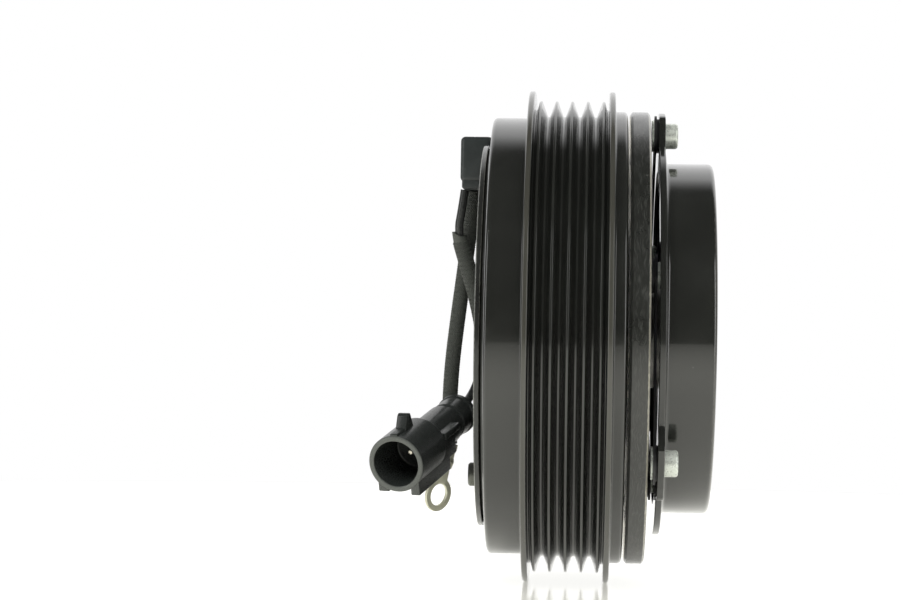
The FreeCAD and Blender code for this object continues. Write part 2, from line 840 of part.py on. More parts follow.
# ---------------------------------------------------------------------------------------------
# Hub: drum with a lobed flange, rubber ring and splined core
# ---------------------------------------------------------------------------------------------
def build_hub():
    """The driven side, which turns with the compressor's shaft."""

    def at(place):
        return f"({place}) - hub_plate_rear_x"

    front = at("drum_front_x")
    inner = "drum_radius - drum_wall"
    drum = turned(
        "hub_drum",
        "hub_plate_rear_x",
        [
            ("0", inner),
            (f"{front} - drum_lip", inner),
            (f"{front} - drum_lip", "drum_lip_radius"),
            (front, "drum_lip_radius"),
            (front, "drum_radius"),
            ("hub_plate_thick", "drum_radius"),
            ("hub_plate_thick", "hub_disc_radius"),
            ("0", "hub_disc_radius"),
        ],
        turn="lobe_turn",
    )
    rounded(drum, "drum_corner", [(front, "drum_radius")])
    sketch = new_sketch(drum, "YZ_Plane", "lobe_sketch")
    draw_outline(
        sketch,
        [
            ("-lobe_half_base", "lobe_root_z"),
            ("-lobe_half_tip", "lobe_shoulder_z"),
            ("-lobe_half_tip + lobe_corner", "lobe_radius - lobe_corner / 4"),
            ("0", "lobe_radius"),
            ("lobe_half_tip - lobe_corner", "lobe_radius - lobe_corner / 4"),
            ("lobe_half_tip", "lobe_shoulder_z"),
            ("lobe_half_base", "lobe_root_z"),
        ],
    )
    lobe = drum.newObject("PartDesign::Pad", "lobe")
    lobe.Profile = sketch
    bind(lobe, Length="hub_plate_thick")
    drum.Tip = lobe
    doc.recompute()
    polar_pattern(drum, lobe, HUB_LOBES)
    hole = drilled(drum, "lobe_hole", "0", "rivet_circle", "rivet_shank_radius", "hub_plate_thick")
    polar_pattern(drum, hole, HUB_LOBES)
    subpart(drum, "hub_drum")

    length = "rubber_front_x - rubber_rear_x"
    middle = "(sleeve_radius + drum_radius - drum_wall) / 2"
    rubber = turned(
        "rubber_damper",
        "rubber_rear_x",
        [
            ("0", "sleeve_radius"),
            ("rubber_dip", f"{middle} - rubber_flat / 2"),
            ("rubber_dip", f"{middle} + rubber_flat / 2"),
            ("0", inner),
            (length, inner),
            (f"{length} - rubber_dip", f"{middle} + rubber_flat / 2"),
            (f"{length} - rubber_dip", f"{middle} - rubber_flat / 2"),
            (length, "sleeve_radius"),
        ],
    )
    subpart(rubber, "rubber_damper")
    build_hub_core()


def build_hub_core():
    """The splined steel core that the rubber is bonded to."""

    def at(place):
        return f"({place}) - core_rear_x"

    front = at("core_front_x")
    sleeve_inner = "sleeve_radius - sleeve_wall"
    core = turned(
        "hub_core",
        "core_rear_x",
        [
            ("0", "pilot_radius"),
            ("pilot_length", "pilot_radius"),
            ("pilot_length", "spline_radius"),
            (f"{front} - bolt_seat_depth", "spline_radius"),
            (f"{front} - bolt_seat_depth", "bolt_seat_radius"),
            (front, "bolt_seat_radius"),
            (front, "core_radius"),
            (at("core_web_front_x"), "core_radius"),
            (at("core_web_front_x"), sleeve_inner),
            (at("sleeve_front_x"), sleeve_inner),
            (at("sleeve_front_x"), "sleeve_radius"),
            (at("sleeve_rear_x"), "sleeve_radius"),
            (at("sleeve_rear_x"), sleeve_inner),
            (at("core_web_rear_x"), sleeve_inner),
            (at("core_web_rear_x"), "core_radius"),
            ("0", "core_radius"),
        ],
    )
    sketch = new_sketch(core, "YZ_Plane", "spline_sketch")
    draw_outline(
        sketch,
        [
            ("-spline_half_width", "spline_radius - spline_overlap"),
            ("spline_half_width", "spline_radius - spline_overlap"),
            ("spline_half_root", "spline_root_radius"),
            ("-spline_half_root", "spline_root_radius"),
        ],
    )
    tooth = pocket(core, sketch, f"{front} - bolt_seat_depth", "spline_space")
    polar_pattern(core, tooth, int(size("spline_teeth")))
    subpart(core, "hub_core")


# ---------------------------------------------------------------------------------------------
# Leaf springs, rivets and spacers
# ---------------------------------------------------------------------------------------------
def on_ring(name, radius, length, x, ring, angle):
    """A cylinder parallel to the clutch axis, on a ring at an angle from +Z."""
    return rod(name, radius, length, x, polar_y(ring, angle), polar_z(ring, angle), AXIAL)


def headed_rivet(label, ring, angle, parts, head_round, head_front_x):
    """A rivet of several coaxial cylinders, with the rim of its head rounded."""
    cylinders = [
        on_ring(f"{label}_{index}", radius, length, start, ring, angle)
        for index, (radius, length, start) in enumerate(parts, start=1)
    ]
    whole = fuse(label + "_sharp", cylinders)
    front = number_of(head_front_x)

    def head_rim(edge):
        return isinstance(edge.Curve, Part.Circle) and abs(edge.Curve.Center.x - front) < SAME_PLACE

    subpart(filleted(label, whole, head_round, head_rim), label)


def build_spring(index):
    """One leaf spring with the rivets and spacers at its two ends."""
    number = index + 1
    hub_angle = lobe_angle(index)
    plate_angle = f"({hub_angle} - spring_angle)"
    spring_front = "spring_rear_x + spring_thick"

    near_y = number_of(polar_y("rivet_circle", hub_angle))
    near_z = number_of(polar_z("rivet_circle", hub_angle))
    far_y = number_of(polar_y("armature_rivet_circle", plate_angle))
    far_z = number_of(polar_z("armature_rivet_circle", plate_angle))
    reach = math.hypot(far_y - near_y, far_z - near_z)
    lean = math.degrees(math.atan2(far_z - near_z, far_y - near_y))

    blade = doc.addObject("Part::Box", f"blade_{number}")
    blade.Width = reach
    bind(blade, Length="spring_thick", Height="2 * spring_half_width")
    turn = Rotation(AXIAL, lean)
    offset = turn.multVec(Vector(0, 0, -size("spring_half_width")))
    blade.Placement = Placement(Vector(size("spring_rear_x"), near_y, near_z) + offset, turn)
    ends = [
        on_ring(f"blade_end_{number}", "spring_end_radius", "spring_thick", "spring_rear_x", ring, angle)
        for ring, angle in (("rivet_circle", hub_angle), ("armature_rivet_circle", plate_angle))
    ]
    holes = [
        on_ring(f"blade_hole_{number}", "rivet_shank_radius", "spring_thick", "spring_rear_x", ring, angle)
        for ring, angle in (("rivet_circle", hub_angle), ("armature_rivet_circle", plate_angle))
    ]
    whole = fuse(f"blade_whole_{number}", [blade] + ends)
    spring = cut(f"leaf_spring_{number}", whole, fuse(f"blade_holes_{number}", holes))
    subpart(spring, f"leaf_spring_{number}")

    hub_front = "hub_plate_rear_x + hub_plate_thick"
    headed_rivet(
        f"hub_rivet_{number}",
        "rivet_circle",
        hub_angle,
        [
            ("rivet_head_radius", "rivet_head", hub_front),
            ("rivet_shank_radius", f"{hub_front} - spring_rear_x", "spring_rear_x"),
            ("rivet_tail_radius", "rivet_tail", "spring_rear_x - rivet_tail"),
        ],
        "rivet_head_round",
        f"{hub_front} + rivet_head",
    )
    headed_rivet(
        f"armature_rivet_{number}",
        "armature_rivet_circle",
        plate_angle,
        [
            ("short_head_radius", "short_head", spring_front),
            (
                "rivet_shank_radius",
                f"{spring_front} - armature_front_x + short_shank",
                "armature_front_x - short_shank",
            ),
        ],
        "short_head_round",
        f"{spring_front} + short_head",
    )
    for label, ring, angle, start, length in (
        (
            f"hub_spacer_{number}",
            "rivet_circle",
            hub_angle,
            spring_front,
            f"hub_plate_rear_x - ({spring_front})",
        ),
        (
            f"armature_spacer_{number}",
            "armature_rivet_circle",
            plate_angle,
            "armature_front_x",
            "spring_rear_x - armature_front_x",
        ),
    ):
        disc = on_ring(label + "_disc", "spacer_radius", length, start, ring, angle)
        hole = on_ring(label + "_hole", "rivet_shank_radius", length, start, ring, angle)
        subpart(cut(label, disc, hole), label)


# ---------------------------------------------------------------------------------------------
# Leads, with the pieces on their ends
# ---------------------------------------------------------------------------------------------
GROUND_ROUTE = [
    (-23.4, 19.6, 34.1),
    (-23.9, 20.6, 27.6),
    (-25.2, 22.2, 17.0),
    (-26.8, 22.6, 4.5),
    (-28.1, 22.4, -7.5),
    (-28.5, 21.6, -17.5),
    (-28.3, 21.4, -26.2),
]

POWER_ROUTE = [
    (-25.3, 15.2, 34.1),
    (-25.9, 15.4, 29.6),
    (-26.9, 16.2, 24.2),
    (-24.6, 17.4, 16.4),
    (-22.2, 19.8, 8.2),
    (-20.6, 22.2, 0.0),
    (-20.8, 24.8, -6.4),
    (-22.2, 24.9, -12.4),
    (-24.52, 21.41, -16.69),
    (-26.2, 16.4, -18.2),
]

PLUG_REAR = Vector(-26.2, 16.4, -18.2)
PLUG_DIRECTION = Vector(-0.306, -0.913, -0.275)


ARC_SHARE = 0.45
SLEEVED_EDGES = slice(3, 12)


def route_edges(points, label):
    """Straight runs joined by tangent arcs, in order; an arc takes a set share of the shorter run."""
    corners = [Vector(*point) for point in points]
    edges = []
    start = corners[0]
    radii = []
    for before, corner, after in zip(corners, corners[1:], corners[2:]):
        arriving = (corner - before).normalize()
        leaving = (after - corner).normalize()
        turn = arriving.getAngle(leaving)
        reach = ARC_SHARE * min((corner - before).Length, (after - corner).Length)
        radii.append(reach / math.tan(turn / 2))
        inward = (leaving - arriving).normalize()
        first = corner - arriving * reach
        last = corner + leaving * reach
        centre = corner + inward * (radii[-1] / math.cos(turn / 2))
        bow = centre - inward * radii[-1]
        edges.append(Part.LineSegment(start, first).toShape())
        edges.append(Part.Arc(first, bow, last).toShape())
        start = last
    edges.append(Part.LineSegment(start, corners[-1]).toShape())
    print(label, "arc radii", [round(radius, 1) for radius in radii])
    return edges


def swept(edges, radius):
    """A round bar along a run of edges."""
    path = Part.Wire(edges)
    start = edges[0].valueAt(edges[0].FirstParameter)
    heading = edges[0].tangentAt(edges[0].FirstParameter)
    ring = Part.Wire([Part.Circle(start, heading, radius).toShape()])
    return path.makePipeShell([ring], True, True)


def build_leads():
    """Both leads and the loose sleeve over the thin one."""
    ground_edges = route_edges(GROUND_ROUTE, "ground_lead")
    power_edges = route_edges(POWER_ROUTE, "power_lead")
    for label, edges, radius in (
        ("ground_lead", ground_edges, size("ground_lead_radius")),
        ("power_lead", power_edges, size("power_lead_radius")),
    ):
        lead = doc.addObject("Part::Feature", label)
        lead.Shape = swept(edges, radius)
        length = sum(edge.Length for edge in edges)
        expected = math.pi * radius**2 * length
        share = round(lead.Shape.Volume / expected, 5)
        print(label, "length", round(length, 1), "volume over section x length", share)
        subpart(lead, label)

    covered = power_edges[SLEEVED_EDGES]
    sleeve = doc.addObject("Part::Feature", "power_lead_sleeve")
    sleeve.Shape = swept(covered, size("lead_sleeve_radius")).cut(swept(covered, size("lead_sleeve_bore")))
    subpart(sleeve, "power_lead_sleeve")


def build_ring_terminal():
    """The tinned eye on the end of the ground lead, hanging from the end of its run."""
    crimp = rod("crimp_barrel", "crimp_radius", "crimp_length", z="-crimp_length")
    neck = box(
        "terminal_neck",
        "-neck_half_width",
        "-eye_thick / 2",
        "-eye_drop",
        "2 * neck_half_width",
        "eye_thick",
        "eye_drop - crimp_length + neck_overlap",
    )
    facing = Vector(0, 1, 0)
    eye = rod("terminal_eye", "eye_radius", "eye_thick", "0", "-eye_thick / 2", "-eye_drop", facing)
    hole = rod("terminal_hole", "eye_hole_radius", "eye_thick", "0", "-eye_thick / 2", "-eye_drop", facing)
    whole = fuse("terminal_whole", [crimp, neck, eye])
    terminal = cut("ring_terminal", whole, hole)
    tilt = Rotation(Vector(0, 1, 0), size("terminal_tilt"))
    spin = Rotation(Vector(0, 0, 1), size("eye_turn"))
    terminal.Placement = Placement(Vector(*GROUND_ROUTE[-1]), tilt * spin)
    subpart(terminal, "ring_terminal")


def plug_place():
    """Where the plug connector lies: its own Z runs from its rear to its mouth, its own Y is up."""
    forward = Vector(PLUG_DIRECTION).normalize()
    upward = Vector(0, 0, 1)
    side = upward.cross(forward).normalize()
    upward = forward.cross(side)
    return Placement(PLUG_REAR, Rotation(side, upward, forward, "ZYX"))


def build_plug():
    """The round plug connector, its contact and its wire seal."""
    waist_end = "(plug_collar_length + plug_waist_length)"
    pieces = [
        rod("plug_rim", "plug_collar_rim", "plug_rim_length"),
        rod("plug_collar", "plug_collar_radius", "plug_collar_length"),
        rod("plug_waist", "plug_waist_radius", waist_end),
        rod("plug_body", "plug_body_radius", f"shroud_rear - {waist_end}", z=waist_end),
        rod("plug_shroud", "shroud_radius", "plug_length - shroud_rear", z="shroud_rear"),
        box(
            "plug_key",
            "-key_half_width",
            "plug_body_radius - fin_root",
            "fin_start",
            "2 * key_half_width",
            "key_rise - plug_body_radius + fin_root",
            "plug_length - fin_start",
        ),
        box(
            "plug_rail",
            "plug_body_radius - rail_root",
            "-rail_half_width",
            "plug_length - rail_length",
            "rail_rise - plug_body_radius + rail_root",
            "2 * rail_half_width",
            "rail_length - rail_setback",
        ),
    ]
    fin = doc.addObject("Part::Wedge", "plug_fin")
    for name, text in (
        ("Xmin", "-fin_half_width"),
        ("Xmax", "fin_half_width"),
        ("X2min", "-fin_half_width"),
        ("X2max", "fin_half_width"),
        ("Ymin", "plug_body_radius - fin_root"),
        ("Ymax", "fin_rise"),
        ("Zmin", "fin_start - fin_rear_lead"),
        ("Zmax", "fin_start + fin_foot"),
        ("Z2min", "fin_start + fin_rear_lean"),
        ("Z2max", "fin_start + fin_crest"),
    ):
        fin.setExpression(name, formula(text))
    pieces.append(fin)
    for name, sign in (("left", -1), ("right", 1)):
        foot = doc.addObject("Part::Box", f"plug_foot_{name}")
        bind(foot, Length="2 * foot_half_width", Height="foot_length")
        bind(foot, Width="foot_rise - mouth_radius - foot_root")
        turn = Rotation(Vector(0, 0, 1), 180 + sign * size("foot_spread"))
        corner = Vector(-size("foot_half_width"), size("mouth_radius") + size("foot_root"), 0)
        place = turn.multVec(corner) + Vector(0, 0, size("plug_length") - size("foot_length"))
        foot.Placement = Placement(place, turn)
        pieces.append(foot)
    solid = fuse("plug_solid", pieces)
    mouth = rod("plug_mouth", "mouth_radius", "mouth_depth", z="plug_length - mouth_depth")
    seat = rod("contact_seat", "contact_radius", "contact_sunk", z="plug_length - mouth_depth - contact_sunk")
    housing = cut("connector_housing", solid, fuse("plug_hollow", [mouth, seat]))
    housing.Placement = plug_place()
    subpart(housing, "connector_housing")

    contact_rear = "plug_length - mouth_depth - contact_sunk"
    contact = rod("contact_rod", "contact_radius", "contact_stand + contact_sunk", z=contact_rear)
    tip = number_of("plug_length - mouth_depth + contact_stand")

    def tip_rim(edge):
        return isinstance(edge.Curve, Part.Circle) and abs(edge.Curve.Center.z - tip) < SAME_PLACE

    pin = filleted("connector_pin", contact, "contact_round", tip_rim)
    pin.Placement = plug_place()
    subpart(pin, "connector_pin")

    seal = rod("wire_seal", "wire_seal_radius", "wire_seal_length", z="-wire_seal_length")
    bore = rod("wire_seal_bore", "power_lead_radius", "wire_seal_length", z="-wire_seal_length")
    ring = cut("connector_seal", seal, bore)
    ring.Placement = plug_place()
    subpart(ring, "connector_seal")


build_coil()
build_gland()
build_rotor()
build_bearing()
build_armature()
build_hub()
for lobe_index in range(HUB_LOBES):
    build_spring(lobe_index)
build_leads()
build_ring_terminal()
build_plug()

doc.recompute()
for thing in doc.Objects:
    if "Invalid" in thing.State or "Error" in thing.State:
        raise RuntimeError(f"{thing.Name} failed: {thing.State}")
for thing in SUBPARTS:
    if thing.Shape.isNull() or not thing.Shape.isValid():
        raise RuntimeError(f"{thing.Label} has no valid shape")

os.makedirs("parts", exist_ok=True)
for thing in SUBPARTS:
    thing.Shape.exportStep(f"parts/{thing.Label}.step")
    print(thing.Label, round(thing.Shape.Volume, 1), "mm3,", len(thing.Shape.Solids), "solid(s)")
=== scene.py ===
"""Studio model of an electromagnetic compressor clutch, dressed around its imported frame.

Lengths in this file are millimetres until a mesh is made; the frame is metres. +X runs along the
clutch axis from the compressor to the hub's front face, +Z is up, and the origin is the middle of
the pulley bearing's bore.
"""

import logging
import math
from dataclasses import dataclass, field
from enum import Enum
from typing import Callable, Iterable, Optional, Sequence, Union

import bmesh
import bpy
from mathutils import Matrix, Vector


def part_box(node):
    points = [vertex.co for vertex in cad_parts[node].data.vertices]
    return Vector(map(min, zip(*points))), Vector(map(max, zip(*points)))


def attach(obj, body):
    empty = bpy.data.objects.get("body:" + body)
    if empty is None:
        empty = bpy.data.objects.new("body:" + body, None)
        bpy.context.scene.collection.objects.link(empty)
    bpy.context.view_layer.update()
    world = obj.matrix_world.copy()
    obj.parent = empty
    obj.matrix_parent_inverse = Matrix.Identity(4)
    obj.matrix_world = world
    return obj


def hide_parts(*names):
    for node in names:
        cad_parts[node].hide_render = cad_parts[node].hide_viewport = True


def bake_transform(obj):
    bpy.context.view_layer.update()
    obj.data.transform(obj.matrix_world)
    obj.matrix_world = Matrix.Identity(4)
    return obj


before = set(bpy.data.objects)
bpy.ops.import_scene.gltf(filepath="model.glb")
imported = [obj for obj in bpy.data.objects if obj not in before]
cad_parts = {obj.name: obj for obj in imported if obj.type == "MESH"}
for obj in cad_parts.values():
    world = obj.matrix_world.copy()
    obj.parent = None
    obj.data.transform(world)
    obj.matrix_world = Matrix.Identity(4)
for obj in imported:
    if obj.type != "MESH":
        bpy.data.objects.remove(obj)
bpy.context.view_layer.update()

LOG = logging.getLogger("clutch")

MM = 0.001
FULL_TURN = 2 * math.pi
ROUND_STEPS = 192
FINE_ROUND = 256
TUBE_STEPS = 32
CURVE_STEPS = 24
SHARP_ANGLE = math.radians(38)

Color = tuple[float, float, float]
Corner = tuple[float, ...]
Source = Union[bpy.types.NodeSocket, float, tuple[float, ...]]


class Body(Enum):
    """The rigid bodies that pieces ride on."""

    STATOR = "stator"
    PULLEY = "pulley"
    HUB = "hub"
    ARMATURE = "armature"


# ----------------------------------------------------------------------------------------------
# The cords' routes, the same points as the frame's own leads, in metres
# ----------------------------------------------------------------------------------------------
GROUND_ROUTE = (
    (-0.0234, 0.0196, 0.0341),
    (-0.0239, 0.0206, 0.0276),
    (-0.0252, 0.0222, 0.0170),
    (-0.0268, 0.0226, 0.0045),
    (-0.0281, 0.0224, -0.0075),
    (-0.0285, 0.0216, -0.0175),
    (-0.0283, 0.0214, -0.0262),
)
POWER_ROUTE = (
    (-0.0253, 0.0152, 0.0341),
    (-0.0259, 0.0154, 0.0296),
    (-0.0269, 0.0162, 0.0242),
    (-0.0246, 0.0174, 0.0164),
    (-0.0222, 0.0198, 0.0082),
    (-0.0206, 0.0222, 0.0000),
    (-0.0208, 0.0248, -0.0064),
    (-0.0222, 0.0249, -0.0124),
    (-0.02452, 0.02141, -0.01669),
    (-0.0262, 0.0164, -0.0182),
)


# ----------------------------------------------------------------------------------------------
# Mesh helpers
# ----------------------------------------------------------------------------------------------
def span(node: str) -> tuple[float, float, float]:
    """Measure a turned node of the frame.

    Args:
        node: the node's name.

    Returns:
        Its rear face, its front face and its outer radius, in millimetres.
    """
    low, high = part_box(node)
    return low[0] / MM, high[0] / MM, high[2] / MM


def softened(outline: Sequence[Corner], steps: int = 4) -> list[tuple[float, float]]:
    """Round an outline's corners.

    Args:
        outline: corners as (x, radius) or (x, radius, rounding).
        steps: edges on each rounded corner.

    Returns:
        The closed outline's points.
    """
    support = 0.12  # extra points this far from a rounding keep the flat faces flat
    points: list[tuple[float, float]] = []
    for index, corner in enumerate(outline):
        here = Vector(corner[:2])
        rounding = corner[2] if len(corner) > 2 else 0.0
        to_before = Vector(outline[index - 1][:2]) - here
        to_after = Vector(outline[(index + 1) % len(outline)][:2]) - here
        if rounding <= 0.0:
            points.append(tuple(here))
            continue
        arriving, leaving = -to_before.normalized(), to_after.normalized()
        turn = arriving.angle(leaving)
        reach = min(rounding * math.tan(turn / 2), 0.48 * to_before.length, 0.48 * to_after.length)
        radius = reach / math.tan(turn / 2)
        inward = (leaving - arriving).normalized()
        centre = here + inward * (radius / math.cos(turn / 2))
        spoke = here - arriving * reach - centre
        side = 1.0 if arriving.cross(leaving) > 0 else -1.0
        if to_before.length > 2 * (reach + support):
            points.append(tuple(here - arriving * (reach + support)))
        for step in range(steps + 1):
            angle = side * turn * step / steps
            turned = Vector((
                spoke.x * math.cos(angle) - spoke.y * math.sin(angle),
                spoke.x * math.sin(angle) + spoke.y * math.cos(angle),
            ))
            points.append(tuple(centre + turned))
        if to_after.length > 2 * (reach + support):
            points.append(tuple(here + leaving * (reach + support)))
    return points


def mesh_from(name: str, points: Iterable[Sequence[float]], faces: Iterable[Sequence[int]]) -> bpy.types.Mesh:
    """Make a clean closed mesh, with doubles merged and faces outward.

    Args:
        name: the mesh's name.
        points: places in millimetres.
        faces: lists of point numbers.

    Returns:
        The mesh, in metres.
    """
    mesh = bpy.data.meshes.new(name)
    mesh.from_pydata([tuple(value * MM for value in point) for point in points], [], list(faces))
    work = bmesh.new()
    work.from_mesh(mesh)
    bmesh.ops.remove_doubles(work, verts=work.verts, dist=1e-7)
    bmesh.ops.dissolve_degenerate(work, edges=work.edges, dist=1e-8)
    return closed(work, mesh)


def closed(work: bmesh.types.BMesh, mesh: bpy.types.Mesh) -> bpy.types.Mesh:
    """Turn a work mesh's faces outward and store it."""
    bmesh.ops.recalc_face_normals(work, faces=work.faces)
    work.to_mesh(mesh)
    work.free()
    return mesh


def bridged(first: Sequence[int], second: Sequence[int]) -> list[tuple[int, int, int, int]]:
    """Quads between two closed loops of point numbers."""
    after = [(place + 1) % len(first) for place in range(len(first))]
    return [(first[i], first[j], second[j], second[i]) for i, j in enumerate(after)]


def turned_mesh(
    name: str,
    outline: Sequence[tuple[float, float]],
    steps: int = ROUND_STEPS,
    reach_at: Optional[Callable[[float, float, float], float]] = None,
    angles: Optional[Sequence[float]] = None,
) -> bpy.types.Mesh:
    """Turn a closed outline about the clutch axis.

    Args:
        name: the mesh's name.
        outline: points as (x, radius).
        steps: places round the axis, where no angles are given.
        reach_at: gives a point's radius from its angle, x and radius, where it isn't round.
        angles: the places round the axis, from +Y towards +Z.

    Returns:
        The closed mesh.
    """
    turns = angles if angles is not None else [FULL_TURN * step / steps for step in range(steps)]
    points = []
    for angle in turns:
        for along, reach in outline:
            radius = reach_at(angle, along, reach) if reach_at else reach
            points.append((along, radius * math.cos(angle), radius * math.sin(angle)))
    count = len(outline)
    rings = [range(start, start + count) for start in range(0, len(points), count)]
    faces = []
    for index, ring in enumerate(rings):
        faces += bridged(ring, rings[(index + 1) % len(rings)])
    return mesh_from(name, points, faces)


def capped_mesh(name: str, first: Sequence[Corner], second: Sequence[Corner]) -> bpy.types.Mesh:
    """Join two closed loops of places with sides, and cap both."""
    count = len(first)
    faces = [tuple(range(count)), tuple(range(2 * count - 1, count - 1, -1))]
    faces += bridged(range(count), range(count, 2 * count))
    return mesh_from(name, [*first, *second], faces)


def block_mesh(
    name: str, low: Sequence[float], high: Sequence[float], bevel: float, steps: int = 3
) -> bpy.types.Mesh:
    """Make a box with rounded edges between two corners.

    Args:
        name: the mesh's name.
        low: its lowest corner.
        high: its highest corner.
        bevel: the radius of its edges.
        steps: edges on each rounding.

    Returns:
        The mesh.
    """
    work = bmesh.new()
    bmesh.ops.create_cube(work, size=1.0)
    middle = [(a + b) / 2 for a, b in zip(low, high)]
    for vert in work.verts:
        vert.co = Vector([
            (centre + value * (b - a)) * MM for centre, value, a, b in zip(middle, vert.co, low, high)
        ])
    bmesh.ops.bevel(
        work, geom=work.edges[:] + work.verts[:], offset=bevel * MM, segments=steps, profile=0.5,
        affect="EDGES", clamp_overlap=True,
    )
    return closed(work, bpy.data.meshes.new(name))


def joined(name: str, meshes: Iterable[bpy.types.Mesh]) -> bpy.types.Mesh:
    """Join several meshes into one, each keeping its own shell."""
    work = bmesh.new()
    for mesh in meshes:
        work.from_mesh(mesh)
    result = bpy.data.meshes.new(name)
    work.to_mesh(result)
    work.free()
    return result


def linked(name: str, data: bpy.types.ID) -> bpy.types.Object:
    """Put a mesh, a curve, a lamp or a camera in the scene as an object at the origin."""
    thing = bpy.data.objects.new(name, data)
    bpy.context.scene.collection.objects.link(thing)
    return thing


def settled(thing: bpy.types.Object) -> bpy.types.Mesh:
    """Evaluate an object's modifiers, remove them and return the mesh, which a mesh object keeps."""
    bpy.context.view_layer.update()
    graph = bpy.context.evaluated_depsgraph_get()
    evaluated = thing.evaluated_get(graph)
    mesh = bpy.data.meshes.new_from_object(evaluated, preserve_all_data_layers=True, depsgraph=graph)
    thing.modifiers.clear()
    if thing.type == "MESH":
        thing.data = mesh
    return mesh


def combined(
    name: str, base: bpy.types.Mesh, tools: Iterable[bpy.types.Mesh], operation: str = "DIFFERENCE"
) -> bpy.types.Mesh:
    """Cut tools out of a mesh, or weld them to it.

    Args:
        name: the result's name.
        base: the mesh to start from.
        tools: the meshes to cut or weld.
        operation: DIFFERENCE or UNION.

    Returns:
        The new mesh.
    """
    thing = linked(name + "_work", base)
    helpers = []
    for index, tool in enumerate(tools):
        helper = linked(f"{name}_tool_{index}", tool)
        helpers.append(helper)
        modifier = thing.modifiers.new(f"tool_{index}", "BOOLEAN")
        modifier.operation = operation
        modifier.solver = "EXACT"
        modifier.object = helper
    mesh = settled(thing)
    for helper in helpers + [thing]:
        bpy.data.objects.remove(helper)
    mesh.name = name
    return mesh


def placed(mesh: bpy.types.Mesh, matrix: Matrix) -> bpy.types.Mesh:
    """Move a mesh by a matrix whose translation is in metres."""
    mesh.transform(matrix)
    return mesh


def arc_slot_mesh(
    ring: float, width: float, middle: float, angle: float, rear: float, front: float
) -> bpy.types.Mesh:
    """A cutter for a curved slot.

    Args:
        ring: the slot's own radius about the clutch axis.
        width: its width.
        middle: the angle of its middle, in radians.
        angle: its length as an angle, in radians.
        rear: where the cutter starts along the axis.
        front: where it ends.

    Returns:
        The cutter's mesh.
    """
    steps = 28
    turns = [middle - angle / 2 + angle * step / steps for step in range(steps + 1)]
    outline = [((ring + width / 2) * math.cos(at), (ring + width / 2) * math.sin(at)) for at in turns]
    outline += [
        ((ring - width / 2) * math.cos(at), (ring - width / 2) * math.sin(at)) for at in reversed(turns)
    ]
    return capped_mesh(
        "slot_cutter", [(rear, *spot) for spot in outline], [(front, *spot) for spot in outline])


def dress(
    name: str,
    mesh: bpy.types.Mesh,
    body: Optional[Body],
    finish: "Finish",
    slot: str,
    *nodes: str,
) -> bpy.types.Object:
    """Make a finished piece of a mesh.

    Args:
        name: the piece's name.
        mesh: its mesh, in its place in the frame.
        body: the body that it rides on, or None where it bends between two.
        finish: its finish.
        slot: the record's material slot, which is not used.
        nodes: the frame's nodes that it replaces.

    Returns:
        The piece.
    """
    thing = linked(name, mesh)
    mesh.shade_smooth()
    mesh.set_sharp_from_angle(angle=SHARP_ANGLE)
    mesh.materials.clear()
    mesh.materials.append(finish.material())
    if body:
        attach(thing, body.value)
    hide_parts(*nodes)
    LOG.info("%s rides on %s, %d faces", name, body.value if body else "two bodies", len(mesh.polygons))
    return thing


def redress(node: str, finish: "Finish") -> None:
    """Give a node of the frame a better material."""
    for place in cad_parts[node].material_slots:
        place.link = "OBJECT"
        place.material = finish.material()
    LOG.info("%s keeps its own shape", node)


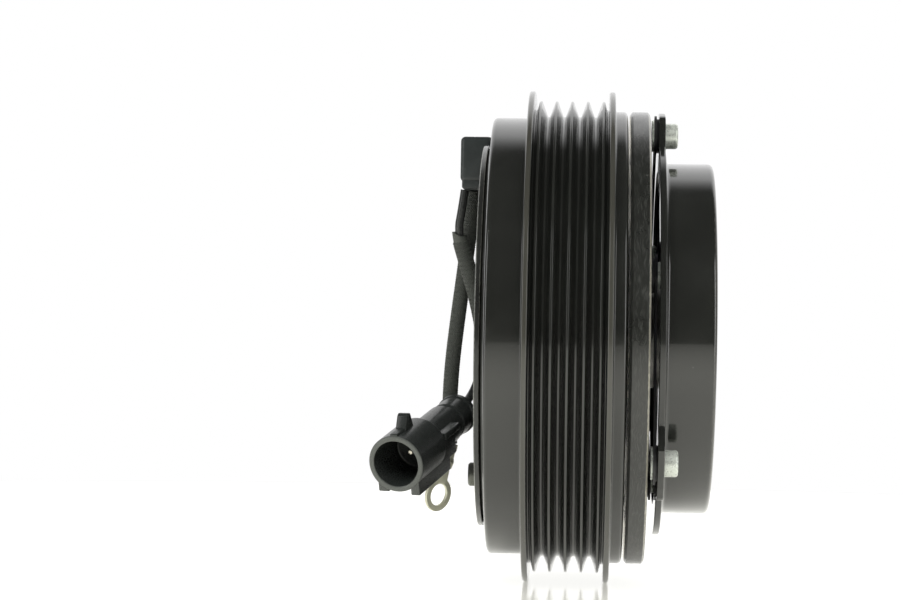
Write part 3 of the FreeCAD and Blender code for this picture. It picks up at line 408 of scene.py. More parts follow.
# ----------------------------------------------------------------------------------------------
# Shader wiring
# ----------------------------------------------------------------------------------------------
class Wiring:
    """Adds nodes to one node tree and joins them."""

    def __init__(self, tree: bpy.types.NodeTree) -> None:
        """Keep the tree that nodes are added to."""
        self.tree = tree

    def add(self, kind: str, **settings: object) -> bpy.types.Node:
        """Add a node and set its properties."""
        node = self.tree.nodes.new(kind)
        for name, value in settings.items():
            setattr(node, name, value)
        return node

    def feed(self, socket: bpy.types.NodeSocket, source: Source) -> None:
        """Link a socket to a source, or set it to a plain value."""
        if isinstance(source, bpy.types.NodeSocket):
            self.tree.links.new(source, socket)
        elif isinstance(source, tuple) and socket.type == "RGBA" and len(source) == 3:
            socket.default_value = (*source, 1.0)
        else:
            socket.default_value = source

    def call(self, kind: str, output: object, *sources: Source, **settings: object) -> bpy.types.NodeSocket:
        """Add a node, feed its first inputs in order and return one output."""
        node = self.add(kind, **settings)
        for socket, source in zip(node.inputs, sources):
            self.feed(socket, source)
        return node.outputs[output]

    def math(
        self, operation: str, first: Source, second: Source = 0.0, clamp: bool = False
    ) -> bpy.types.NodeSocket:
        """Add a Math node and return its result."""
        return self.call("ShaderNodeMath", 0, first, second, operation=operation, use_clamp=clamp)

    def times(self, *sources: Source) -> bpy.types.NodeSocket:
        """Multiply values together."""
        product = sources[0]
        for source in sources[1:]:
            product = self.math("MULTIPLY", product, source)
        return product

    def level(self, value: Source, low: Source, high: Source) -> bpy.types.NodeSocket:
        """Stretch a range to 0 to 1, and clamp."""
        spread = self.math("SUBTRACT", high, low)
        return self.math("DIVIDE", self.math("SUBTRACT", value, low), spread, clamp=True)

    def blend(self, factor: Source, first: Source, second: Source) -> bpy.types.NodeSocket:
        """Mix two colours and return the result."""
        node = self.add("ShaderNodeMix", data_type="RGBA")
        self.feed(node.inputs["Factor"], factor)
        self.feed(node.inputs[6], first)
        self.feed(node.inputs[7], second)
        return node.outputs[2]

    def band(
        self, value: Source, low: float, high: float, to_low: float = 0.0, to_high: float = 1.0
    ) -> bpy.types.NodeSocket:
        """Map a value smoothly from one range to another."""
        return self.call(
            "ShaderNodeMapRange", 0, value, low, high, to_low, to_high, interpolation_type="SMOOTHSTEP")

    def noise(
        self, place: Source, scale: Source, detail: float = 3.0, roughness: float = 0.55
    ) -> bpy.types.NodeSocket:
        """Add a noise texture and return its value."""
        node = self.add("ShaderNodeTexNoise")
        settings = {"Vector": place, "Scale": scale, "Detail": detail, "Roughness": roughness}
        for name, source in settings.items():
            self.feed(node.inputs[name], source)
        return node.outputs["Fac"]

    def vector(self, x: Source, y: Source, z: Source) -> bpy.types.NodeSocket:
        """Make a vector of three values."""
        return self.call("ShaderNodeCombineXYZ", 0, x, y, z)

    def group(self, name: str, **sources: Source) -> bpy.types.Node:
        """Place a shared group; names with underscores are its sockets' names."""
        node = self.add("ShaderNodeGroup", node_tree=effect(name))
        for socket, source in sources.items():
            self.feed(node.inputs[socket.replace("_", " ").title()], source)
        return node

    def pattern(self, name: str, **sources: Source) -> bpy.types.NodeSocket:
        """Place a shared group and return its one output."""
        return self.group(name, **sources).outputs[0]


Sockets = dict[str, bpy.types.NodeSocket]


def new_group(
    name: str, inputs: dict[str, float], outputs: dict[str, str]
) -> tuple[Wiring, Sockets, Sockets]:
    """Start a shared shader group.

    Args:
        name: the group's name.
        inputs: its number inputs, with their values.
        outputs: its outputs, with their socket types.

    Returns:
        Its wiring, its inputs by name and its output node's sockets.
    """
    tree = bpy.data.node_groups.new(name, "ShaderNodeTree")
    for label, value in inputs.items():
        socket = tree.interface.new_socket(label, in_out="INPUT", socket_type="NodeSocketFloat")
        socket.default_value = value
    for label, kind in outputs.items():
        tree.interface.new_socket(label, in_out="OUTPUT", socket_type=kind)
    wiring = Wiring(tree)
    entry = wiring.add("NodeGroupInput")
    leaving = wiring.add("NodeGroupOutput")
    return wiring, {label: entry.outputs[label] for label in inputs}, leaving.inputs


def make_axis_place() -> None:
    """Places about the clutch axis, in millimetres and radians."""
    outputs = {label: "NodeSocketFloat" for label in ("Along", "Reach", "Turn")}
    wiring, _, leaving = new_group("axis_place", {}, {"Place": "NodeSocketVector", **outputs})
    scaled = wiring.add("ShaderNodeVectorMath", operation="SCALE")
    wiring.feed(scaled.inputs[0], wiring.add("ShaderNodeTexCoord").outputs["Object"])
    scaled.inputs["Scale"].default_value = 1 / MM
    parts = wiring.add("ShaderNodeSeparateXYZ")
    wiring.feed(parts.inputs[0], scaled.outputs[0])
    along, across, up = parts.outputs
    square = wiring.math("ADD", wiring.math("POWER", across, 2.0), wiring.math("POWER", up, 2.0))
    wiring.feed(leaving["Place"], scaled.outputs[0])
    wiring.feed(leaving["Along"], along)
    wiring.feed(leaving["Reach"], wiring.math("SQRT", square))
    wiring.feed(leaving["Turn"], wiring.math("ARCTAN2", up, across))


def make_grain() -> None:
    """Fine even grain, such as moulded plastic or orange peel in paint."""
    wiring, inputs, leaving = new_group("grain", {"Size": 0.5}, {"Value": "NodeSocketFloat"})
    place = wiring.group("axis_place").outputs["Place"]
    wiring.feed(leaving["Value"], wiring.noise(place, wiring.math("DIVIDE", 1.0, inputs["Size"]), 2.0))


def make_cloud() -> None:
    """Broad uneven patches with a soft edge."""
    numbers = {"Size": 9.0, "Low": 0.4, "High": 0.65}
    wiring, inputs, leaving = new_group("cloud", numbers, {"Value": "NodeSocketFloat"})
    place = wiring.group("axis_place").outputs["Place"]
    value = wiring.noise(place, wiring.math("DIVIDE", 1.0, inputs["Size"]), 6.0, 0.62)
    wiring.feed(leaving["Value"], wiring.level(value, inputs["Low"], inputs["High"]))


def make_ring_wear() -> None:
    """A band along one round edge of a turned piece, used both for rubbed paint and for painted highlights.
    """
    numbers = {"Edge Along": 0.0, "Edge Reach": 10.0, "Width": 0.5, "Breakup": 0.5}
    wiring, inputs, leaving = new_group("ring_wear", numbers, {"Mask": "NodeSocketFloat"})
    place = wiring.group("axis_place").outputs
    along = wiring.math("POWER", wiring.math("SUBTRACT", place["Along"], inputs["Edge Along"]), 2.0)
    reach = wiring.math("POWER", wiring.math("SUBTRACT", place["Reach"], inputs["Edge Reach"]), 2.0)
    away = wiring.math("DIVIDE", wiring.math("SQRT", wiring.math("ADD", along, reach)), inputs["Width"])
    rough = wiring.math("SUBTRACT", wiring.noise(place["Place"], 0.9, 5.0, 0.7), 0.45)
    ragged = wiring.math("ADD", away, wiring.times(rough, wiring.times(inputs["Breakup"], 6.0)))
    wiring.feed(leaving["Mask"], wiring.band(ragged, 1.0, 0.6))


def make_turning() -> None:
    """Fine rings left by a lathe, on faces and on cylinders."""
    wiring, inputs, leaving = new_group("turning", {"Pitch": 0.25}, {"Height": "NodeSocketFloat"})
    place = wiring.group("axis_place").outputs
    scale = wiring.math("DIVIDE", 1.0, inputs["Pitch"])
    rings = wiring.vector(wiring.times(place["Along"], scale), wiring.times(place["Reach"], scale), 0.0)
    wiring.feed(leaving["Height"], wiring.noise(rings, 1.0, 3.0, 0.6))


def make_streaks() -> None:
    """Short wavy lines round a stamped rim."""
    numbers = {"Length": 3.5, "Spacing": 0.3, "Low": 0.5, "High": 0.66}
    wiring, inputs, leaving = new_group("streaks", numbers, {"Mask": "NodeSocketFloat"})
    place = wiring.group("axis_place").outputs
    sway = wiring.times(wiring.noise(place["Place"], 0.45, 1.0), 1.6)
    along = wiring.math("DIVIDE", wiring.math("ADD", place["Along"], sway), inputs["Spacing"])
    across = wiring.math("DIVIDE", wiring.times(place["Turn"], place["Reach"]), inputs["Length"])
    value = wiring.noise(wiring.vector(along, across, 0.0), 1.0, 4.0, 0.65)
    wiring.feed(leaving["Mask"], wiring.level(value, inputs["Low"], inputs["High"]))


def make_dust() -> None:
    """Sparse pale specks of dust."""
    numbers = {"Spacing": 3.4, "Size": 0.11}
    wiring, inputs, leaving = new_group("dust", numbers, {"Mask": "NodeSocketFloat"})
    cells = wiring.add("ShaderNodeTexVoronoi", feature="F1")
    wiring.feed(cells.inputs["Vector"], wiring.group("axis_place").outputs["Place"])
    wiring.feed(cells.inputs["Scale"], wiring.math("DIVIDE", 1.0, inputs["Spacing"]))
    distance = wiring.times(cells.outputs["Distance"], inputs["Spacing"])
    spot = wiring.math("LESS_THAN", distance, inputs["Size"])
    chosen = wiring.call("ShaderNodeSeparateColor", 0, cells.outputs["Color"])
    wiring.feed(leaving["Mask"], wiring.times(spot, wiring.math("GREATER_THAN", chosen, 0.72)))


EFFECTS = {
    "axis_place": make_axis_place,
    "grain": make_grain,
    "cloud": make_cloud,
    "ring_wear": make_ring_wear,
    "turning": make_turning,
    "streaks": make_streaks,
    "dust": make_dust,
}


def effect(name: str) -> bpy.types.NodeTree:
    """Return a shared group, which is built the first time it is asked for."""
    if name not in bpy.data.node_groups:
        EFFECTS[name]()
    return bpy.data.node_groups[name]


# ----------------------------------------------------------------------------------------------
# Finishes
# ----------------------------------------------------------------------------------------------
def scaled(color: Color, factor: float) -> Color:
    """A lighter or darker colour."""
    return tuple(value * factor for value in color)


@dataclass(frozen=True)
class Finish:
    """A finish with its plain values; each kind adds its own pattern."""

    name: str
    color: Color
    roughness: float = 0.4
    metallic: float = 0.0
    coat: float = 0.0
    coat_roughness: float = 0.05
    bump: float = 0.1
    bump_depth: float = 0.02

    def material(self) -> bpy.types.Material:
        """Return the finish's material, made the first time it is asked for."""
        label = f"{self.name}_finish"
        found = bpy.data.materials.get(label)
        if found:
            return found
        material = bpy.data.materials.new(label)
        material.use_nodes = True
        shader = next(node for node in material.node_tree.nodes if node.type == "BSDF_PRINCIPLED")
        shader.inputs["Base Color"].default_value = (*self.color, 1.0)
        shader.inputs["Roughness"].default_value = self.roughness
        shader.inputs["Metallic"].default_value = self.metallic
        shader.inputs["Coat Weight"].default_value = self.coat
        shader.inputs["Coat Roughness"].default_value = self.coat_roughness
        self.shade(Wiring(material.node_tree), shader)
        return material

    def raise_surface(self, wiring: Wiring, shader: bpy.types.Node, height: Source) -> None:
        """Feed a height to the shader's normal."""
        bump = wiring.add("ShaderNodeBump")
        bump.inputs["Strength"].default_value = self.bump
        bump.inputs["Distance"].default_value = self.bump_depth * MM
        wiring.feed(bump.inputs["Height"], height)
        wiring.feed(shader.inputs["Normal"], bump.outputs[0])

    def vary_roughness(
        self, wiring: Wiring, value: Source, low: float, high: float, least: float, most: float
    ) -> bpy.types.NodeSocket:
        """Spread the roughness over a pattern.

        Args:
            wiring: the material's wiring.
            value: the pattern's value.
            low: the value that gives the least roughness.
            high: the value that gives the most.
            least: the least, as a share of the finish's own roughness.
            most: the most, as a share of it.

        Returns:
            The roughness.
        """
        return wiring.band(value, low, high, self.roughness * least, self.roughness * most)

    def shade(self, wiring: Wiring, shader: bpy.types.Node) -> None:
        """Wire the finish's own pattern."""
        raise NotImplementedError


@dataclass(frozen=True)
class Paint(Finish):
    """Stoved black paint, with bare steel along round edges and on a ground friction face; some edge bands
    are rubbed paint and some are painted highlights.

    worn holds (along, reach, width, breakup) of each edge band; ground holds the low and high x
    and the lowest and highest radius of bare ground steel.
    """

    worn: tuple[tuple[float, float, float, float], ...] = ()
    ground: tuple[tuple[float, float, float, float], ...] = ()
    scored: bool = False
    steel: Color = (0.52, 0.50, 0.47)
    bare_roughness: float = 0.3
    wear: float = 0.35
    dust_color: Color = (0.32, 0.33, 0.31)

    def bare_and_sheen_mask(self, wiring: Wiring) -> Source:
        """Where the steel colour shows: bare ground faces, rubbed edges, and edges where it is a painted
        highlight.
        """
        mask: Source = 0.0
        for along, reach, width, breakup in self.worn:
            ring = wiring.pattern(
                "ring_wear", edge_along=along, edge_reach=reach, width=width, breakup=breakup)
            mask = wiring.math("MAXIMUM", mask, wiring.times(ring, self.wear))
        place = wiring.group("axis_place").outputs
        for low, high, inner, outer in self.ground:
            inside = wiring.times(
                wiring.math("GREATER_THAN", place["Along"], low),
                wiring.math("LESS_THAN", place["Along"], high),
                wiring.math("GREATER_THAN", place["Reach"], inner),
                wiring.math("LESS_THAN", place["Reach"], outer),
            )
            mask = wiring.math("MAXIMUM", mask, inside)
        return mask

    def shade(self, wiring: Wiring, shader: bpy.types.Node) -> None:
        """Layer paint, scores, dust and bare steel; the steel colour also paints highlights along some edges.
        """
        # bare holds real bare steel and, at some edges, bands of steel colour that are painted highlights.
        bare = self.bare_and_sheen_mask(wiring)
        covered = wiring.math("SUBTRACT", 1.0, bare)
        cloud = wiring.pattern("cloud", size=14.0)
        paint = wiring.blend(cloud, scaled(self.color, 0.8), self.color)
        height = wiring.times(wiring.pattern("grain", size=0.9), 0.5)
        if self.scored:
            scores = wiring.pattern("streaks")
            pale = tuple(value * 2.6 + 0.02 for value in self.color)
            paint = wiring.blend(wiring.times(scores, 0.55), paint, pale)
            height = wiring.math("SUBTRACT", height, wiring.times(scores, 0.8))
        paint = wiring.blend(wiring.times(wiring.pattern("dust"), 0.8), paint, self.dust_color)
        rings = wiring.pattern("turning", pitch=0.22)
        steel = wiring.blend(wiring.band(rings, 0.3, 0.7, 0.82, 1.0), scaled(self.steel, 0.6), self.steel)
        rough = self.vary_roughness(wiring, cloud, 0.0, 1.0, 0.8, 1.25)
        rough = wiring.math("ADD", wiring.times(bare, self.bare_roughness), wiring.times(covered, rough))
        wiring.feed(shader.inputs["Base Color"], wiring.blend(bare, paint, steel))
        wiring.feed(shader.inputs["Metallic"], bare)
        wiring.feed(shader.inputs["Roughness"], rough)
        wiring.feed(shader.inputs["Coat Weight"], wiring.times(covered, self.coat))
        self.raise_surface(wiring, shader, wiring.math("ADD", height, wiring.times(rings, 0.15, bare)))


@dataclass(frozen=True)
class TurnedSteel(Finish):
    """Machined or ground steel with lathe rings."""

    pitch: float = 0.18

    def shade(self, wiring: Wiring, shader: bpy.types.Node) -> None:
        """Ring the surface and stain it a little."""
        rings = wiring.pattern("turning", pitch=self.pitch)
        stain = wiring.blend(wiring.pattern("cloud", size=6.0), scaled(self.color, 0.7), self.color)
        wiring.feed(shader.inputs["Base Color"], stain)
        wiring.feed(shader.inputs["Roughness"], self.vary_roughness(wiring, rings, 0.25, 0.75, 0.75, 1.3))
        self.raise_surface(wiring, shader, rings)


@dataclass(frozen=True)
class Plated(Finish):
    """Zinc or tin plating: crystalline patches over fine grain."""

    patch: float = 0.8
    tarnish: Color = (0.45, 0.46, 0.4)

    def shade(self, wiring: Wiring, shader: bpy.types.Node) -> None:
        """Mix bright and dull plating."""
        cloud = wiring.pattern("cloud", size=self.patch)
        dull = wiring.pattern("cloud", size=self.patch * 4.0, low=0.5, high=0.75)
        bright = wiring.blend(cloud, scaled(self.color, 0.85), self.color)
        wiring.feed(shader.inputs["Base Color"], wiring.blend(wiring.times(dull, 0.6), bright, self.tarnish))
        wiring.feed(shader.inputs["Roughness"], self.vary_roughness(wiring, cloud, 0.0, 1.0, 0.8, 1.3))
        self.raise_surface(wiring, shader, wiring.pattern("grain", size=0.12))


@dataclass(frozen=True)
class Moulded(Finish):
    """Moulded plastic or rubber: fine spark grain, scuffs and a little dust."""

    grain: float = 0.22
    scuff: Color = (0.16, 0.165, 0.16)
    dust_color: Color = (0.4, 0.4, 0.38)

    def shade(self, wiring: Wiring, shader: bpy.types.Node) -> None:
        """Grain, pale scuffs and dust."""
        grain = wiring.pattern("grain", size=self.grain)
        scuffs = wiring.pattern("cloud", size=1.4, low=0.62, high=0.8)
        dust = wiring.pattern("dust", spacing=1.6, size=0.06)
        base = wiring.blend(wiring.pattern("cloud", size=5.0), scaled(self.color, 0.8), self.color)
        base = wiring.blend(wiring.times(scuffs, 0.35), base, self.scuff)
        wiring.feed(shader.inputs["Base Color"], wiring.blend(wiring.times(dust, 0.5), base, self.dust_color))
        wiring.feed(shader.inputs["Roughness"], self.vary_roughness(wiring, grain, 0.3, 0.7, 0.85, 1.12))
        self.raise_surface(wiring, shader, grain)


@dataclass(frozen=True)
class RimmedPlastic(Moulded):
    """Moulded plastic whose cut end face is paler, from a place on it and the way it faces."""

    rim_place: Color = (0.0, 0.0, 0.0)
    rim_facing: Color = (1.0, 0.0, 0.0)
    rim_color: Color = (0.10, 0.107, 0.098)
    rim_depth: float = 0.35

    def shade(self, wiring: Wiring, shader: bpy.types.Node) -> None:
        """Lay the pale end face over the moulded pattern."""
        super().shade(wiring, shader)
        moulded = shader.inputs["Base Color"].links[0].from_socket
        reach = wiring.call(
            "ShaderNodeVectorMath", "Value", wiring.group("axis_place").outputs["Place"], self.rim_facing,
            operation="DOT_PRODUCT")
        end = Vector(self.rim_place).dot(Vector(self.rim_facing))
        mask = wiring.band(reach, end - self.rim_depth, end - self.rim_depth / 2)
        wiring.feed(shader.inputs["Base Color"], wiring.blend(mask, moulded, self.rim_color))


@dataclass(frozen=True)
class LitAcrylic(Finish):
    """A glossy acrylic table that is lit softly from below."""

    glow: float = 0.42
    patch: float = 120.0

    def shade(self, wiring: Wiring, shader: bpy.types.Node) -> None:
        """Vary the glow and the gloss very slightly over broad patches."""
        cloud = wiring.pattern("cloud", size=self.patch, low=0.2, high=0.8)
        tone = wiring.blend(cloud, scaled(self.color, 0.985), self.color)
        wiring.feed(shader.inputs["Base Color"], tone)
        wiring.feed(shader.inputs["Emission Color"], tone)
        shader.inputs["Emission Strength"].default_value = self.glow
        wiring.feed(shader.inputs["Roughness"], self.vary_roughness(wiring, cloud, 0.0, 1.0, 0.95, 1.05))


@dataclass(frozen=True)
class Woven(Finish):
    """The fibres of a braided cover, each with its own shade."""

    def shade(self, wiring: Wiring, shader: bpy.types.Node) -> None:
        """Fibres along each strand and dirt between them."""
        grain = wiring.pattern("grain", size=0.16)
        dirt = wiring.times(wiring.pattern("cloud", size=2.4), 0.35)
        base = wiring.blend(grain, scaled(self.color, 0.5), scaled(self.color, 1.4))
        wiring.feed(shader.inputs["Base Color"], wiring.blend(dirt, base, scaled(self.color, 0.7)))
        wiring.feed(shader.inputs["Roughness"], self.vary_roughness(wiring, grain, 0.3, 0.7, 0.9, 1.1))
        self.raise_surface(wiring, shader, grain)


@dataclass(frozen=True)
class Wound(Finish):
    """Enamelled wire laid in turns."""

    wire: float = 0.7

    def shade(self, wiring: Wiring, shader: bpy.types.Node) -> None:
        """Ripple the surface with the wire's turns."""
        place = wiring.group("axis_place").outputs
        along = wiring.math("SINE", wiring.times(place["Along"], FULL_TURN / self.wire))
        reach = wiring.math("SINE", wiring.times(place["Reach"], FULL_TURN / self.wire))
        tone = wiring.blend(wiring.pattern("cloud", size=4.0), scaled(self.color, 0.6), self.color)
        wiring.feed(shader.inputs["Base Color"], tone)
        self.raise_surface(wiring, shader, wiring.math("ADD", along, reach))


# ----------------------------------------------------------------------------------------------
# Geometry node graphs
# ----------------------------------------------------------------------------------------------
@dataclass
class GeometryGraph:
    """A geometry node group with named inputs, run once on an object and baked to a mesh."""

    name: str
    tree: bpy.types.NodeTree = field(init=False)
    wiring: Wiring = field(init=False)
    entry: bpy.types.Node = field(init=False)
    leaving: bpy.types.Node = field(init=False)

    def __post_init__(self) -> None:
        """Make the group with a geometry input and output."""
        self.tree = bpy.data.node_groups.new(self.name, "GeometryNodeTree")
        for way in ("INPUT", "OUTPUT"):
            self.tree.interface.new_socket("Geometry", in_out=way, socket_type="NodeSocketGeometry")
        self.wiring = Wiring(self.tree)
        self.entry = self.wiring.add("NodeGroupInput")
        self.leaving = self.wiring.add("NodeGroupOutput")

    def inputs(self, **kinds: str) -> list[bpy.types.NodeSocket]:
        """Add named inputs of the given kinds and return their sockets inside the group."""
        for label, kind in kinds.items():
            self.tree.interface.new_socket(label.title(), in_out="INPUT", socket_type=f"NodeSocket{kind}")
        return [self.entry.outputs[label.title()] for label in kinds]

    def finish(self, geometry: bpy.types.NodeSocket, material: bpy.types.NodeSocket) -> None:
        """Realise the copies, set their material and send them out."""
        real = self.wiring.call("GeometryNodeRealizeInstances", 0, geometry)
        paint = self.wiring.add("GeometryNodeSetMaterial")
        self.wiring.feed(paint.inputs["Geometry"], real)
        self.wiring.feed(paint.inputs["Material"], material)
        self.wiring.feed(self.leaving.inputs[0], paint.outputs[0])

    def run(self, thing: bpy.types.Object, **values: object) -> bpy.types.Mesh:
        """Run the group on an object.

        Args:
            thing: the object that carries the modifier for a moment.
            values: the inputs by name.

        Returns:
            The baked mesh.
        """
        modifier = thing.modifiers.new(self.name, "NODES")
        modifier.node_group = self.tree
        items = self.tree.interface.items_tree
        labels = {item.name: item.identifier for item in items if item.in_out == "INPUT"}
        for label, value in values.items():
            modifier[labels[label.title()]] = value
        thing.update_tag()
        return settled(thing)


def ring_graph() -> GeometryGraph:
    """Copies of one object at even angles about the clutch axis."""
    graph = GeometryGraph("ring")
    wiring = graph.wiring
    copied, count, start, step, material = graph.inputs(
        copied="Object", count="Int", start="Float", step="Float", material="Material")
    points = wiring.add("GeometryNodePoints")
    wiring.feed(points.inputs["Count"], count)
    index = wiring.add("GeometryNodeInputIndex").outputs[0]
    angle = wiring.math("ADD", start, wiring.times(index, step))
    source = wiring.add("GeometryNodeObjectInfo", transform_space="ORIGINAL")
    wiring.feed(source.inputs["Object"], copied)
    copies = wiring.add("GeometryNodeInstanceOnPoints")
    wiring.feed(copies.inputs["Points"], points.outputs[0])
    wiring.feed(copies.inputs["Instance"], source.outputs["Geometry"])
    wiring.feed(copies.inputs["Rotation"], wiring.vector(angle, 0.0, 0.0))
    graph.finish(copies.outputs[0], material)
    return graph


def braid_graph() -> GeometryGraph:
    """Strands that wind both ways round a curve, over and under each other."""
    graph = GeometryGraph("braid")
    wiring = graph.wiring
    radius, strands, turns, width, depth, samples, material = graph.inputs(
        radius="Float", strands="Int", turns="Float", width="Float", depth="Float", samples="Int",
        material="Material")
    resampled = wiring.add("GeometryNodeResampleCurve")
    wiring.feed(resampled.inputs["Curve"], graph.entry.outputs["Geometry"])
    wiring.feed(resampled.inputs["Count"], samples)
    join = wiring.add("GeometryNodeJoinGeometry")
    for hand in (1.0, -1.0):
        copies = wiring.add("GeometryNodeDuplicateElements", domain="SPLINE")
        wiring.feed(copies.inputs["Geometry"], resampled.outputs[0])
        wiring.feed(copies.inputs["Amount"], strands)
        share = wiring.math("DIVIDE", copies.outputs["Duplicate Index"], strands)
        wound = wiring.times(wiring.add("GeometryNodeSplineParameter").outputs["Factor"], turns)
        turn = wiring.times(wiring.math("ADD", wound, share), FULL_TURN * hand)
        crossings = wiring.times(wound, wiring.times(strands, FULL_TURN))
        wave = wiring.times(wiring.math("SINE", crossings), wiring.times(depth, hand))
        reach = wiring.math("ADD", radius, wave)
        tangent = wiring.add("GeometryNodeInputTangent").outputs[0]
        normal = wiring.add("GeometryNodeInputNormal").outputs[0]
        side = wiring.call("ShaderNodeVectorMath", 0, tangent, normal, operation="CROSS_PRODUCT")
        parts = []
        for direction, wavelet in ((normal, "COSINE"), (side, "SINE")):
            part = wiring.add("ShaderNodeVectorMath", operation="SCALE")
            wiring.feed(part.inputs[0], direction)
            wiring.feed(part.inputs["Scale"], wiring.times(reach, wiring.math(wavelet, turn)))
            parts.append(part.outputs[0])
        moved = wiring.add("GeometryNodeSetPosition")
        wiring.feed(moved.inputs["Geometry"], copies.outputs["Geometry"])
        wiring.feed(moved.inputs["Offset"], wiring.call("ShaderNodeVectorMath", 0, *parts, operation="ADD"))
        section = wiring.add("GeometryNodeCurvePrimitiveCircle", mode="RADIUS")
        section.inputs["Resolution"].default_value = 5
        wiring.feed(section.inputs["Radius"], wiring.times(width, 0.5))
        strand = wiring.add("GeometryNodeCurveToMesh")
        wiring.feed(strand.inputs["Curve"], moved.outputs[0])
        wiring.feed(strand.inputs["Profile Curve"], section.outputs[0])
        strand.inputs["Fill Caps"].default_value = True
        wiring.feed(join.inputs[0], strand.outputs[0])
    graph.finish(join.outputs[0], material)
    return graph


MAKERS = {"ring": ring_graph, "braid": braid_graph}
GRAPHS: dict[str, GeometryGraph] = {}


def geometry_graph(name: str) -> GeometryGraph:
    """Return a graph, which is built the first time it is asked for."""
    if name not in GRAPHS:
        GRAPHS[name] = MAKERS[name]()
    return GRAPHS[name]


# ----------------------------------------------------------------------------------------------
# The clutch's finishes
# ----------------------------------------------------------------------------------------------
BLACK = (0.021, 0.022, 0.0195)
GROUND_STEEL = (0.80, 0.76, 0.62)


def paint(name: str, **changes: object) -> Paint:
    """Stoved black paint with changes from its usual values."""
    values = {"color": BLACK, "roughness": 0.22, "coat": 0.7, "coat_roughness": 0.06, "bump": 0.2}
    values.update(changes)
    return Paint(name, **values)


MACHINED = TurnedSteel("machined_steel", (0.56, 0.55, 0.53), 0.28, 1.0, bump=0.25, bump_depth=0.01)
RING_STEEL = TurnedSteel("ring_steel", (0.60, 0.60, 0.60), 0.16, 1.0, bump_depth=0.006, pitch=0.1)
# Painted shade: the rivet spacers are near-black so that they stand in for the shade in the gap between the
# armature and the lobed flange.
SHADE_DARKENED_STEEL = TurnedSteel(
    "shade_darkened_steel", (0.06, 0.06, 0.063), 0.45, 0.5, bump=0.15, bump_depth=0.01, pitch=0.25)
# Painted shade: the leaf springs are near-black for the same shade in that gap; the bearing's snap ring uses
# this finish too.
SPRING_STEEL_AND_PAINTED_SHADE = TurnedSteel("spring_steel_and_painted_shade", (0.07, 0.07, 0.072), 0.48, 0.5, bump_depth=0.01, pitch=0.3)
PIN_STEEL = TurnedSteel("pin_steel", (0.20, 0.205, 0.18), 0.38, 0.85, bump=0.2, bump_depth=0.01)
ZINC = Plated("zinc", (0.80, 0.84, 0.77), 0.32, 0.4, bump_depth=0.01, tarnish=(0.66, 0.71, 0.63))
TIN = Plated("tin", (0.80, 0.79, 0.62), 0.45, 0.45, bump=0.3, bump_depth=0.012, patch=1.6)
CONTACT = Plated("contact_tin", (0.74, 0.70, 0.6), 0.22, 1.0, bump_depth=0.006, patch=0.5)
COPPER = Wound("enamelled_copper", (0.55, 0.22, 0.09), 0.3, 0.9, bump=0.8, bump_depth=0.2)
CREAM = Moulded(
    "cream_plastic", (0.62, 0.55, 0.40), 0.45, bump=0.15, bump_depth=0.01, scuff=(0.5, 0.45, 0.33))
RESIN = Moulded("resin", (0.045, 0.03, 0.022), 0.2, coat=0.3, bump=0.35, bump_depth=0.04, grain=3.0)
GLAND = Moulded("gland_plastic", (0.030, 0.035, 0.035), 0.42, bump=0.3, grain=0.35)
RUBBER = Moulded("black_rubber", (0.022, 0.022, 0.021), 0.62, bump=0.25, grain=0.3)
SEAL = Moulded("seal_rubber", (0.032, 0.026, 0.023), 0.55, bump=0.2, grain=0.2)
JACKET = Moulded("wire_jacket", (0.03, 0.032, 0.031), 0.3, bump=0.12, bump_depth=0.01, grain=0.4)
BRAID = Woven("braid", (0.078, 0.084, 0.074), 0.55, bump=0.4)
ACRYLIC = LitAcrylic("table_acrylic", (0.92, 0.915, 0.85), 0.08, coat=0.3)


# ----------------------------------------------------------------------------------------------
# Studio
# ----------------------------------------------------------------------------------------------
@dataclass(frozen=True)
class SoftLight:
    """A soft rectangular light, with its place and aim in metres."""

    name: str
    place: Corner
    width: float
    height: float
    power: float
    aim: Corner = (0.0, 0.0, 0.0)
    color: Color = (1.0, 1.0, 1.0)
    mirrored: bool = True

    def build(self) -> None:
        """Add the light to the scene."""
        lamp = bpy.data.lights.new(self.name, "AREA")
        lamp.shape = "RECTANGLE"
        lamp.size = self.width
        lamp.size_y = self.height
        lamp.energy = self.power
        lamp.color = self.color
        thing = linked(self.name, lamp)
        thing.location = self.place
        thing.visible_camera = False
        thing.visible_glossy = self.mirrored
        thing.rotation_euler = (Vector(self.aim) - Vector(self.place)).to_track_quat("-Z", "Y").to_euler()


